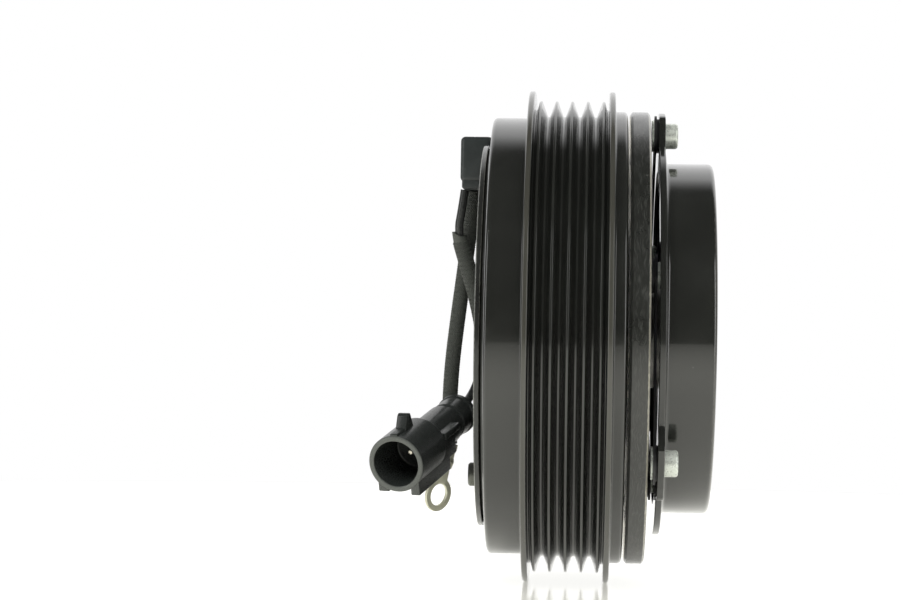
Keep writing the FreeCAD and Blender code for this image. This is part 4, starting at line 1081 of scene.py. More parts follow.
@dataclass
class Studio:
    """Camera, soft lights, white surroundings and a glossy white table."""

    eye: Corner = (0.0046, -0.6, 0.008)
    yaw: float = math.radians(3.04)
    roll: float = math.radians(0.9)
    lens: float = 103.8
    sensor: float = 36.0
    nearest: float = 0.01
    farthest: float = 20.0
    sky_turn: tuple[float, float] = (0.36, 0.72)
    sky_light: tuple[float, float] = (0.04, 1.15)
    table_depth: float = 0.45
    table_radius: float = 0.75
    lights: tuple[SoftLight, ...] = (
        SoftLight("top_light", (0.0, 0.7, 0.75), 1.2, 0.5, 6.0, mirrored=False),
        SoftLight(
            "front_fill", (-0.1, -0.9, 0.9), 1.0, 0.8, 13.0, (0.0, -0.2, -0.05), (1.0, 1.0, 0.98), False),
        SoftLight("left_light", (-0.7, -0.35, 0.15), 0.3, 0.9, 2.0),
        SoftLight("right_light", (0.7, -0.35, 0.15), 0.3, 0.9, 2.0),
    )

    def build(self) -> None:
        """Make everything that stands round the clutch."""
        self.place_camera()
        for light in self.lights:
            light.build()
        self.surround()
        self.lay_table()
        bpy.context.scene.view_settings.view_transform = "Standard"
        bpy.context.scene.view_settings.look = "None"

    def place_camera(self) -> None:
        """Look along +Y from near the belt's middle plane."""
        camera = bpy.data.cameras.new("camera")
        camera.lens = self.lens
        camera.sensor_width = self.sensor
        camera.clip_start = self.nearest
        camera.clip_end = self.farthest
        thing = linked("camera", camera)
        level = Matrix.Rotation(math.pi / 2, 4, "X")
        turn = Matrix.Rotation(self.yaw, 4, "Z") @ level @ Matrix.Rotation(self.roll, 4, "Z")
        thing.matrix_world = Matrix.Translation(self.eye) @ turn
        bpy.context.scene.camera = thing

    def surround(self) -> None:
        """White behind the clutch, dark on the camera's side, white to the camera itself."""
        world = bpy.data.worlds.new("surroundings")
        bpy.context.scene.world = world
        world.use_nodes = True
        world.node_tree.nodes.clear()
        wiring = Wiring(world.node_tree)
        way = wiring.add("ShaderNodeTexCoord").outputs["Generated"]
        back = wiring.call("ShaderNodeSeparateXYZ", 1, way)
        light = wiring.blend(
            wiring.band(back, *self.sky_turn, *self.sky_light), (0.0, 0.0, 0.0), (1.0, 1.0, 1.0))
        seen = wiring.add("ShaderNodeLightPath").outputs["Is Camera Ray"]
        sky = wiring.call("ShaderNodeBackground", 0, wiring.blend(seen, light, (1.0, 1.0, 1.0)))
        wiring.feed(wiring.add("ShaderNodeOutputWorld").inputs["Surface"], sky)

    def lay_table(self) -> None:
        """A round glossy table under the clutch."""
        work = bmesh.new()
        bmesh.ops.create_circle(work, cap_ends=True, segments=128, radius=self.table_radius)
        mesh = bpy.data.meshes.new("table")
        work.to_mesh(mesh)
        work.free()
        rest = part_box("pulley_rotor")[0][2]
        placed(mesh, Matrix.Translation((0.0, -self.table_depth, rest)))
        mesh.materials.append(ACRYLIC.material())
        linked("table", mesh)


# ----------------------------------------------------------------------------------------------
# Leads
# ----------------------------------------------------------------------------------------------
def curve_through(name: str, kind: str, places: Sequence[Sequence[float]]) -> bpy.types.Object:
    """A bare curve of a kind, NURBS or POLY, through places in metres."""
    curve = bpy.data.curves.new(name, "CURVE")
    curve.dimensions = "3D"
    curve.resolution_u = CURVE_STEPS
    spline = curve.splines.new(kind)
    spline.points.add(len(places) - 1)
    for point, place in zip(spline.points, places):
        point.co = (*place, 1.0)
    spline.order_u = 3
    spline.use_endpoint_u = True
    return linked(name, curve)


def route_points(name: str, route: Sequence[Sequence[float]]) -> list[Vector]:
    """Read the places along a smooth curve through a lead's given points, in metres."""
    line = curve_through(name, "NURBS", route)
    bpy.context.view_layer.update()
    mesh = bpy.data.meshes.new_from_object(line)
    bpy.data.objects.remove(line)
    return [vert.co.copy() for vert in mesh.vertices]


def path_length(path: Sequence[Vector]) -> float:
    """The length of a line of places."""
    return sum((second - first).length for first, second in zip(path, path[1:]))


def tube_along(
    name: str, path: Sequence[Vector], outer: float, inner: float = 0.0, slant: float = 0.0
) -> bpy.types.Mesh:
    """Sweep a round bar or a hose along points.

    Args:
        name: the mesh's name.
        path: places in metres.
        outer: its radius in millimetres.
        inner: its bore in millimetres, or nothing for a bar.
        slant: how far its last end leans along itself, in millimetres.

    Returns:
        The closed mesh.
    """
    last = len(path) - 1
    side = (path[1] - path[0]).normalized().cross(Vector((0.0, 1.0, 0.0))).normalized()
    radii = (outer, inner) if inner else (outer,)
    points = []
    shells: list[list[range]] = [[] for _ in radii]
    for index, place in enumerate(path):
        along = (path[min(index + 1, last)] - path[max(index - 1, 0)]).normalized()
        side = (side - along * side.dot(along)).normalized()
        up = along.cross(side)
        lean = slant if index == last else 0.0
        for shell, radius in zip(shells, radii):
            shell.append(range(len(points), len(points) + TUBE_STEPS))
            for step in range(TUBE_STEPS):
                angle = FULL_TURN * step / TUBE_STEPS
                spot = place / MM + (side * math.cos(angle) + up * math.sin(angle)) * radius
                points.append(tuple(spot + along * lean * math.cos(angle)))
    faces = []
    for shell in shells:
        for first, second in zip(shell, shell[1:]):
            faces += bridged(first, second)
    for end in (0, -1):
        faces += bridged(shells[0][end], shells[1][end]) if inner else [tuple(shells[0][end])]
    return mesh_from(name, points, faces)


@dataclass(frozen=True)
class Weave:
    """A braid of thin strands; lengths in millimetres."""

    strands: int = 18
    lay: float = 7.0
    width: float = 0.34
    flatness: float = 0.35
    spacing: float = 0.28

    def along(self, name: str, route: Sequence[Vector], radius: float) -> bpy.types.Mesh:
        """Weave strands about a path.

        Args:
            name: the mesh's name.
            route: places in metres.
            radius: the braid's middle radius in millimetres.

        Returns:
            The strands' mesh.
        """
        line = curve_through(name + "_line", "POLY", route)
        length = path_length(route)
        mesh = geometry_graph("braid").run(
            line, radius=radius * MM, strands=self.strands, turns=length / (self.lay * MM),
            width=self.width * MM, depth=self.flatness * self.width * MM,
            samples=int(length / (self.spacing * MM)), material=BRAID.material(),
        )
        bpy.data.objects.remove(line)
        return mesh


@dataclass
class Leads:
    """Both leads, with the pieces on their ends."""

    ground_radius: float = 1.68
    power_radius: float = 1.0
    sleeve_radius: float = 1.85
    sleeve_bore: float = 1.2
    sleeve_top: float = 0.0236
    sleeve_foot: float = -0.0040
    sleeve_slant: float = 0.9
    bare_stations: int = 6
    weave: Weave = field(default_factory=Weave)

    def build(self) -> None:
        """Make the leads, the eye terminal and the plug."""
        plug = Plug().build()
        terminal = EyeTerminal().build()
        self.ground(terminal)
        self.power(plug)

    def ground(self, terminal: bpy.types.Object) -> None:
        """The braided ground lead, which ends in the eye terminal."""
        path = route_points("ground_line", GROUND_ROUTE)
        strand = self.weave.width
        core = tube_along("ground_core", path, self.ground_radius - 0.35 * strand)
        cover = self.weave.along("ground_weave", path, self.ground_radius - 0.25 * strand)
        braid = joined("ground_lead_braid", (core, cover))
        lead = dress("ground_lead_braid", braid, Body.STATOR, BRAID, "braid", "ground_lead")

    def power(self, plug: Sequence[bpy.types.Object]) -> None:
        """The thin lead, and the loose braided sleeve over its upper half."""
        path = route_points("power_line", POWER_ROUTE)
        strand = self.weave.width
        covered = [place for place in path if self.sleeve_foot < place.z < self.sleeve_top]
        tube = tube_along(
            "sleeve_tube", covered[::-1], self.sleeve_radius - 0.4 * strand, self.sleeve_bore,
            self.sleeve_slant)
        cover = self.weave.along(
            "sleeve_weave", covered[self.bare_stations:], self.sleeve_radius - 0.45 * strand)
        whole = joined("power_sleeve", (tube, cover))
        sleeve = dress("power_sleeve", whole, Body.STATOR, BRAID, "braid", "power_lead_sleeve")
        wire = tube_along("power_lead_wire", path, self.power_radius)
        lead = dress("power_lead_wire", wire, Body.STATOR, JACKET, "wire_jacket", "power_lead")


@dataclass
class EyeTerminal:
    """The tinned eye crimped to the ground lead. Its own Z runs up the lead, its own Y faces out."""

    eye_radius: float = 4.1
    hole: float = 2.65
    thick: float = 0.8
    drop: float = 12.6
    barrel: float = 2.05
    barrel_length: float = 6.0
    waist: float = 0.28
    neck: float = 1.7
    neck_turn: float = math.radians(62)
    turn: float = math.radians(48.5)
    tilt: float = math.radians(12.0)
    rim_steps: int = 96

    def reach(self, angle: float) -> float:
        """How far the sheet reaches from the eye's middle, at an angle from straight up."""
        lean = abs(math.atan2(math.sin(angle), math.cos(angle)))
        if lean >= self.neck_turn:
            return self.eye_radius
        throat = self.drop - self.barrel_length + 0.6
        straight = min(throat / max(math.cos(angle), 0.1), self.neck / max(abs(math.sin(angle)), 1e-4))
        flare = min(1.0, 1.9 * (1 - lean / self.neck_turn) ** 1.6)
        return max(self.eye_radius, self.eye_radius + (straight - self.eye_radius) * flare)

    def plate(self) -> bpy.types.Mesh:
        """The flat eye with its flaring neck, as one bevelled sheet."""
        half = self.thick / 2
        profile = (
            (0.0, -half + 0.15), (0.06, -half), (0.92, -half), (1.0, -half + 0.2),
            (1.0, half - 0.2), (0.92, half), (0.06, half), (0.0, half - 0.15),
        )
        points = []
        for step in range(self.rim_steps):
            angle = FULL_TURN * step / self.rim_steps
            reach = self.reach(angle)
            for share, level in profile:
                away = self.hole + (reach - self.hole) * share
                points.append((math.sin(angle) * away, level, math.cos(angle) * away - self.drop))
        count = len(profile)
        rings = [range(start, start + count) for start in range(0, len(points), count)]
        faces = []
        for index, ring in enumerate(rings):
            faces += bridged(ring, rings[(index + 1) % len(rings)])
        return mesh_from("eye_plate", points, faces)

    def build(self) -> bpy.types.Object:
        """Crimp the barrel and hang the eye below it."""
        length, wide, core = self.barrel_length, self.barrel, 0.6
        barrel = turned_mesh("crimp", softened([
            (-length, core), (-length, wide - 0.3, 0.2), (-length * 0.72, wide, 0.4),
            (-length * 0.56, wide - self.waist, 0.3), (-length * 0.38, wide - self.waist, 0.3),
            (-length * 0.24, wide, 0.3), (0.0, wide, 0.2), (0.0, core),
        ]), 64)
        placed(barrel, Matrix.Rotation(-math.pi / 2, 4, "Y"))
        mesh = joined("eye_terminal", (barrel, self.plate()))
        turn = Matrix.Rotation(self.tilt, 4, "Y") @ Matrix.Rotation(self.turn, 4, "Z")
        placed(mesh, Matrix.Translation(GROUND_ROUTE[-1]) @ turn)
        return dress("eye_terminal", mesh, Body.STATOR, TIN, "tin", "ring_terminal")


@dataclass
class Plug:
    """The round plug connector. Its own X runs from its rear to its mouth, its own Z is up."""

    rear: Corner = (-0.0262, 0.0164, -0.01885)
    heading: Corner = (-0.307, -0.916, -0.259)
    length: float = 39.0
    body: float = 4.75
    collar: float = 4.8
    ring: float = 4.5
    neck: float = 4.1
    shroud: float = 6.55
    shroud_rear: float = 24.0
    mouth: float = 5.3
    mouth_depth: float = 13.0
    contact: float = 0.75
    contact_length: float = 4.5

    def place(self) -> Matrix:
        """Its place in the frame, in metres."""
        forward = Vector(self.heading).normalized()
        side = Vector((0.0, 0.0, 1.0)).cross(forward).normalized()
        up = forward.cross(side)
        turn = Matrix((forward, side, up)).transposed().to_4x4()
        return Matrix.Translation(self.rear) @ turn

    def finish(self) -> RimmedPlastic:
        """Black plastic with a paler rim round the mouth."""
        facing = Vector(self.heading).normalized()
        return RimmedPlastic(
            "black_plastic", (0.032, 0.036, 0.034), 0.3, bump=0.22, bump_depth=0.014, grain=0.25,
            rim_place=tuple(Vector(self.rear) / MM + facing * self.length), rim_facing=tuple(facing))

    def upright(
        self, name: str, side: Sequence[tuple[float, float]], near: float, far: float
    ) -> bpy.types.Mesh:
        """An upright wall of the given side outline, from near to far across the plug."""
        mesh = capped_mesh(name, [(x, near, z) for x, z in side], [(x, far, z) for x, z in side])
        work = bmesh.new()
        work.from_mesh(mesh)
        bmesh.ops.bevel(
            work, geom=work.edges[:], offset=0.25 * MM, segments=3, profile=0.5, affect="EDGES",
            clamp_overlap=True)
        return closed(work, mesh)

    def housing(self) -> bpy.types.Mesh:
        """The turned housing with its fin, key, feet and clip, and its deep mouth cut last."""
        front, wide, mouth = self.length, self.shroud, self.mouth
        back = front - self.mouth_depth
        shell = turned_mesh("plug_shell", softened([
            (0.0, 0.0), (0.0, self.collar, 0.35), (1.6, self.collar, 0.35), (2.1, self.ring, 0.2),
            (7.3, self.ring, 0.3), (7.7, self.neck, 0.2), (9.0, self.neck, 0.2), (9.3, self.body, 0.3),
            (self.shroud_rear - 1.4, self.body, 0.5), (self.shroud_rear + 0.5, wide, 1.5),
            (front, wide, 0.45), (front, mouth, 0.3), (back, mouth - 0.25, 0.5), (back, 1.3, 0.15),
            (back + 0.7, 1.1, 0.15), (back + 0.7, 0.0),
        ], steps=5), 128)
        face = front - 0.25
        fin = ((29.2, 3.8), (35.2, 3.8), (34.4, 7.0), (32.9, 9.5), (32.2, 9.9), (31.2, 9.7), (30.3, 7.4))
        keel = ((face, -7.25), (19.6, -7.25), (19.4, -4.5), (15.4, -4.5), (15.2, -1.3), (11.9, -1.1),
                (11.7, 0.8), (24.0, 1.2), (face, -1.5))
        welded = combined("plug_welded", shell, [
            self.upright("fin", fin, -1.3, 1.3),
            block_mesh("key", (33.0, -0.95, 4.2), (front - 0.3, 0.95, 7.0), 0.3),
            block_mesh("left_foot", (front - 9.0, -4.8, -6.6), (face, -2.2, -3.6), 0.3),
            self.upright("keel", keel, 3.0, 5.2),
            block_mesh("clip", (14.6, 3.4, 1.0), (23.4, 6.3, 2.5), 0.25),
        ], "UNION")
        cutter = turned_mesh("plug_mouth", [
            (back + 0.6, 0.0), (front + 1.0, 0.0), (front + 1.0, mouth - 0.02),
            (back + 0.6, mouth - 0.24)], 128)
        return combined("plug_housing", welded, [cutter])

    def build(self) -> list[bpy.types.Object]:
        """Make the housing, the contact and the wire seal."""
        root = self.length - self.mouth_depth - 0.5
        tip = root + 0.5 + self.contact_length
        contact = turned_mesh("plug_contact", softened([
            (root, 0.0), (root, self.contact), (tip, self.contact, 0.45), (tip, 0.0)]), 48)
        seal = turned_mesh("plug_seal", softened([
            (-2.0, 0.3), (-2.0, 3.3, 0.4), (-1.4, 3.5, 0.25), (-1.0, 3.2, 0.2), (-0.6, 3.5, 0.25),
            (0.0, 3.5, 0.1), (0.0, 0.3)]), 64)
        pieces = (
            ("plug_housing", self.housing(), self.finish(), "black_plastic", "connector_housing"),
            ("plug_contact", contact, CONTACT, "bronze_contact", "connector_pin"),
            ("plug_seal", seal, SEAL, "seal_rubber", "connector_seal"),
        )
        place = self.place()
        return [
            dress(name, placed(mesh, place), Body.STATOR, finish, slot, node)
            for name, mesh, finish, slot, node in pieces
        ]


# ----------------------------------------------------------------------------------------------
# Coil carrier
# ----------------------------------------------------------------------------------------------
@dataclass
class CoilCarrier:
    """The field coil on its steel plate, with the gland and the locating pin."""

    bore: float = 28.5
    shell_inner: float = 31.8
    wall: float = 2.2
    pin_y: float = -12.0
    pin_z: float = -31.3
    pin: float = 2.65
    spigot: float = 2.0
    chamfer: float = 0.4

    def build(self) -> None:
        """Make the plate, the shell, the gland and the pin."""
        rear, front, reach = span("coil_mounting_plate")
        pin_place = Matrix.Translation((0, self.pin_y * MM, self.pin_z * MM))
        finish = paint(
            "plate_paint",
            worn=((rear, reach, 0.28, 0.35), (front, reach, 0.25, 0.4), (rear, self.bore, 0.3, 0.3)),
            roughness=0.34, steel=(0.42, 0.43, 0.38), color=(0.022, 0.023, 0.021))
        plate = turned_mesh("coil_plate", softened([
            (rear, self.bore, 0.25), (rear, reach, 0.3), (front, reach, 0.2), (front, self.bore, 0.2)]))
        hole = turned_mesh("pin_hole", [
            (rear - 1, 0), (front + 1, 0), (front + 1, self.spigot), (rear - 1, self.spigot)], 48)
        plate = combined("coil_plate", plate, [placed(hole, pin_place)])
        dress("coil_plate", plate, Body.STATOR, finish, "plate_paint", "coil_mounting_plate")
        self.add_shell()
        self.add_pin(rear, pin_place)
        self.add_gland(rear)

    def add_shell(self) -> None:
        """The coil's steel shell, and what the frame already holds inside it."""
        low, high, outer = span("coil_housing")
        inner, wall = self.shell_inner, self.wall
        shell = turned_mesh("coil_shell", softened([
            (low, inner, 0.8), (low, outer, 0.8), (high, outer, 0.3), (high, outer - wall, 0.3),
            (low + 2.5, outer - wall, 0.8), (low + 2.5, inner + 2.0, 0.8), (high, inner + 2.0, 0.3),
            (high, inner, 0.3)]))
        dress(
            "coil_shell", shell, Body.STATOR, paint("shell_paint", roughness=0.4), "black_paint",
            "coil_housing")
        redress("coil_bobbin", CREAM)
        redress("coil_winding", COPPER)
        redress("potting_resin", RESIN)

    def add_pin(self, plate_rear: float, place: Matrix) -> None:
        """The chamfered locating pin."""
        rear, front, _ = span("locating_pin")
        pin = turned_mesh("coil_pin", softened([
            (rear, 0.0), (rear, self.pin - self.chamfer, 0.12), (rear + self.chamfer, self.pin, 0.12),
            (plate_rear, self.pin), (plate_rear, self.spigot), (front, self.spigot), (front, 0.0)]), 64)
        dress("coil_pin", placed(pin, place), Body.STATOR, PIN_STEEL, "black_paint", "locating_pin")

    def add_gland(self, plate_rear: float) -> None:
        """The moulded block over the plate's rim that both leads come out of."""
        low, high = (tuple(value / MM for value in corner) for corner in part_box("wire_gland"))
        x, y, z = low
        lip = z + 1.5
        block = block_mesh("gland_block", (x, y, lip), high, 1.1, 5)
        foot = block_mesh("gland_foot", (x + 0.4, y + 0.4, z), (plate_rear, high[1] - 0.4, lip + 1.2), 0.35)
        rib = block_mesh("gland_rib", (x, y + 2.2, z + 4.0), (x + 2.0, high[1] - 2.2, high[2] - 2.4), 0.5)
        whole = combined("gland_whole", block, [foot, rib], "UNION")
        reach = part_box("coil_mounting_plate")[1][2] / MM
        beyond = high[0] + 1
        rim = turned_mesh(
            "gland_rim", [(plate_rear, 0), (beyond, 0), (beyond, reach), (plate_rear, reach)], FINE_ROUND)
        groove = block_mesh(
            "gland_parting", (x + 3.1, y - 1, high[2] - 0.12), (x + 3.35, high[1] + 1, high[2] + 1), 0.05, 1)
        gland = combined("gland_mould", whole, [rim, groove])
        dress("gland_mould", gland, Body.STATOR, GLAND, "black_plastic", "wire_gland")


# ----------------------------------------------------------------------------------------------
# Pulley and bearing
# ----------------------------------------------------------------------------------------------
@dataclass
class Pulley:
    """The grooved pulley, which is also the magnet's rotor."""

    rear_reach: float = 50.0
    front_reach: float = 51.7
    web: float = 5.0
    channel: float = 44.3
    channel_inner: float = 31.0
    inner_rear: float = -14.0
    seat: float = 26.0
    seat_front: float = 11.0
    lip: float = 24.4
    flange_out: float = 9.75
    flange_in: float = 8.4
    rib: float = 7.4
    rib_reach: float = 53.95
    rib_root: float = 52.0
    groove_floor: float = 50.4
    groove_top: float = 54.2
    mouth_half: float = 1.62
    floor_half: float = 0.26
    grooves: int = 4
    pitch: float = 3.56
    clip_slot: tuple[float, float, float] = (-12.3, -11.02, 27.2)
    slot_rings: tuple[float, float] = (41.0, 34.2)
    slots: int = 4
    slot_width: float = 2.4
    slot_angle: float = math.radians(76)

    def outline(self) -> list[Corner]:
        """The rotor's section, from the channel's rear round the inside to the outside."""
        rear, front, flange = span("pulley_rotor")
        web_rear = front - self.web
        clip_rear, clip_front, clip_reach = self.clip_slot
        inside: list[Corner] = [
            (rear, self.channel, 0.5), (web_rear, self.channel, 1.0), (web_rear, self.channel_inner, 1.0),
            (self.inner_rear, self.channel_inner, 0.5), (self.inner_rear, self.seat, 0.5),
            (clip_rear, self.seat), (clip_rear, clip_reach), (clip_front, clip_reach),
            (clip_front, self.seat),
            (self.seat_front, self.seat), (self.seat_front, self.lip, 0.3), (front, self.lip, 0.6),
            (front, self.front_reach, 0.95),
        ]
        side: list[Corner] = [
            (self.flange_out, self.front_reach, 0.5), (self.flange_out, flange, 0.48),
            (self.flange_in, flange, 0.48), (self.flange_in, self.rib_root, 0.3),
            (self.rib + 0.55, self.rib_root, 0.2), (self.rib, self.rib_reach, 0.25),
        ]
        slope = (self.mouth_half - self.floor_half) / (self.groove_top - self.groove_floor)
        top = self.mouth_half - (self.groove_top - self.rib_reach) * slope
        ribs: list[Corner] = []
        for index in range(self.grooves):
            middle = ((self.grooves - 1) / 2 - index) * self.pitch
            ribs += [
                (middle + top, self.rib_reach, 0.22), (middle + self.floor_half, self.groove_floor, 0.15),
                (middle - self.floor_half, self.groove_floor, 0.15), (middle - top, self.rib_reach, 0.22),
            ]
        back = [(-corner[0], *corner[1:]) for corner in reversed(side)]
        back[-1] = (-self.flange_out, self.rear_reach, 0.5)
        return inside + side + ribs + back + [(rear, self.rear_reach, 0.95)]

    def build(self) -> None:
        """Turn the rotor, cut its flux slots and dress the bearing."""
        rear, front, flange = span("pulley_rotor")
        body = turned_mesh("pulley_turned", softened(self.outline()), FINE_ROUND)
        tools = []
        for ring in self.slot_rings:
            for index in range(self.slots):
                middle = math.pi / 2 + index * FULL_TURN / self.slots
                tools.append(arc_slot_mesh(
                    ring, self.slot_width, middle, self.slot_angle, front - self.web - 1, front + 1))
        mesh = combined("pulley_turned", body, tools)
        rim = (self.flange_out + self.flange_in) / 2
        # Painted highlight: the faint steel-colour bands centred on both flange rims stand in for the rims'
        # soft highlights. The thin ragged band on the rear edge is a faint steel-colour band, and the ground
        # front face is real bare steel.
        finish = paint(
            "rotor_paint", roughness=0.2, steel=GROUND_STEEL, bare_roughness=0.12, wear=0.05,
            worn=((rim, flange, 0.72, 0.1), (-rim, flange, 0.72, 0.1), (rear, self.rear_reach, 0.3, 0.4)),
            ground=((front - 0.06, front + 0.2, self.lip, self.front_reach - 0.9),))
        dress("pulley_turned", mesh, Body.PULLEY, finish, "black_paint", "pulley_rotor")
        Bearing().build()


@dataclass
class Bearing:
    """The double-row bearing between the compressor's nose and the pulley."""

    bore: float = 15.0
    inside: float = 22.6
    row: float = 5.2
    row_half: float = 3.2
    track: float = 0.95
    track_round: float = 2.2
    seal_inner: float = 18.6

    def tracks(self, reach: float, way: int) -> list[Corner]:
        """The outline of both ball tracks from rear to front, dug towards the way given."""
        corners: list[Corner] = []
        for middle in (-self.row, self.row):
            corners += [
                (middle - self.row_half, reach), (middle, reach + way * self.track, self.track_round),
                (middle + self.row_half, reach),
            ]
        return corners

    def build(self) -> None:
        """Make the rings and the seals, and dress the balls, the cages and the snap ring."""
        rear, front, reach = span("bearing_inner_ring")
        inner = [(rear, self.bore, 0.6), (rear, reach, 0.3), *self.tracks(reach, -1),
                 (front, reach, 0.3), (front, self.bore, 0.6)]
        mesh = turned_mesh("inner_race", softened(inner))
        dress("inner_race", mesh, Body.STATOR, RING_STEEL, "bare_steel", "bearing_inner_ring")
        rear, front, reach = span("bearing_outer_ring")
        outer = [(rear, self.inside, 0.3), (rear, reach, 0.5), (front, reach, 0.5), (front, self.inside, 0.3),
                 *reversed(self.tracks(self.inside, 1))]
        mesh = turned_mesh("outer_race", softened(outer))
        dress("outer_race", mesh, Body.PULLEY, RING_STEEL, "bare_steel", "bearing_outer_ring")
        for place, outward in (("rear", -1), ("front", 1)):
            self.add_seal(place, outward)
            redress(f"bearing_cage_{place}", CREAM)
        redress("bearing_balls", RING_STEEL)
        redress("bearing_snap_ring", SPRING_STEEL_AND_PAINTED_SHADE)

    def add_seal(self, place: str, outward: int) -> None:
        """One rubber seal, dished on its outer face."""
        low, high, _ = span(f"bearing_seal_{place}")
        outside, hidden = (high, low) if outward > 0 else (low, high)
        dished = outside - 0.3 * outward
        seal = turned_mesh(f"seal_{place}", softened([
            (hidden, self.seal_inner, 0.1), (outside, self.seal_inner, 0.15), (outside, 19.3, 0.2),
            (dished, 19.7, 0.15), (dished, 21.4, 0.15), (outside, 21.8, 0.2), (outside, self.inside, 0.1),
            (hidden, self.inside, 0.1)]))
        dress(f"seal_{place}", seal, Body.PULLEY, SEAL, "seal_rubber", f"bearing_seal_{place}")


# ----------------------------------------------------------------------------------------------
# Armature, springs and hub
# ----------------------------------------------------------------------------------------------
@dataclass
class Lobes:
    """Where the hub's three lobes and their rivets are, as turns from +Z towards -Y."""

    count: int = 3
    turn: float = math.radians(4.9)
    circle: float = 46.27
    inner_circle: float = 33.0
    spring_turn: float = math.radians(60)
    rivet: float = 1.6
    spacer: float = 3.9

    @property
    def period(self) -> float:
        """The angle between lobes."""
        return FULL_TURN / self.count

    def at(self, index: int, ring: float, back: float = 0.0) -> tuple[float, float]:
        """The y and z of a place on a ring, at a lobe's angle less a turn back."""
        angle = self.turn + index * self.period - back
        return -ring * math.sin(angle), ring * math.cos(angle)

    def ring_up(
        self, name: str, outline: Sequence[tuple[float, float]], steps: int, body: Body, finish: Finish,
        slot: str, node: str,
    ) -> None:
        """Repeat a small turned piece at the three rivet places of a body.

        Args:
            name: the piece's name.
            outline: the small piece's outline.
            steps: places round its own axis.
            body: the hub or the armature.
            finish: its finish.
            slot: the record's material slot.
            node: the start of the frame's names for its copies.
        """
        on_hub = body is Body.HUB
        single = turned_mesh(name + "_one", outline, steps)
        placed(single, Matrix.Translation((0.0, 0.0, (self.circle if on_hub else self.inner_circle) * MM)))
        source = linked(name + "_one", single)
        carrier = linked(name + "_carrier", bpy.data.meshes.new(name))
        ring = geometry_graph("ring").run(
            carrier, copied=source, count=self.count, start=self.turn - (0.0 if on_hub else self.spring_turn),
            step=self.period, material=finish.material())
        bpy.data.objects.remove(source)
        bpy.data.objects.remove(carrier)
        dress(name, ring, body, finish, slot, *(f"{node}_{index + 1}" for index in range(self.count)))

    def add_spacers(self, name: str, body: Body, node: str, rounding: float) -> None:
        """The thick washers behind the rivets' heads, near-black as painted shade in the gap."""
        low, high, _ = span(node + "_1")
        outline = softened([
            (low, self.rivet), (low, self.spacer, rounding), (high, self.spacer, rounding),
            (high, self.rivet)])
        self.ring_up(name, outline, 48, body, SHADE_DARKENED_STEEL, "bare_steel", node)


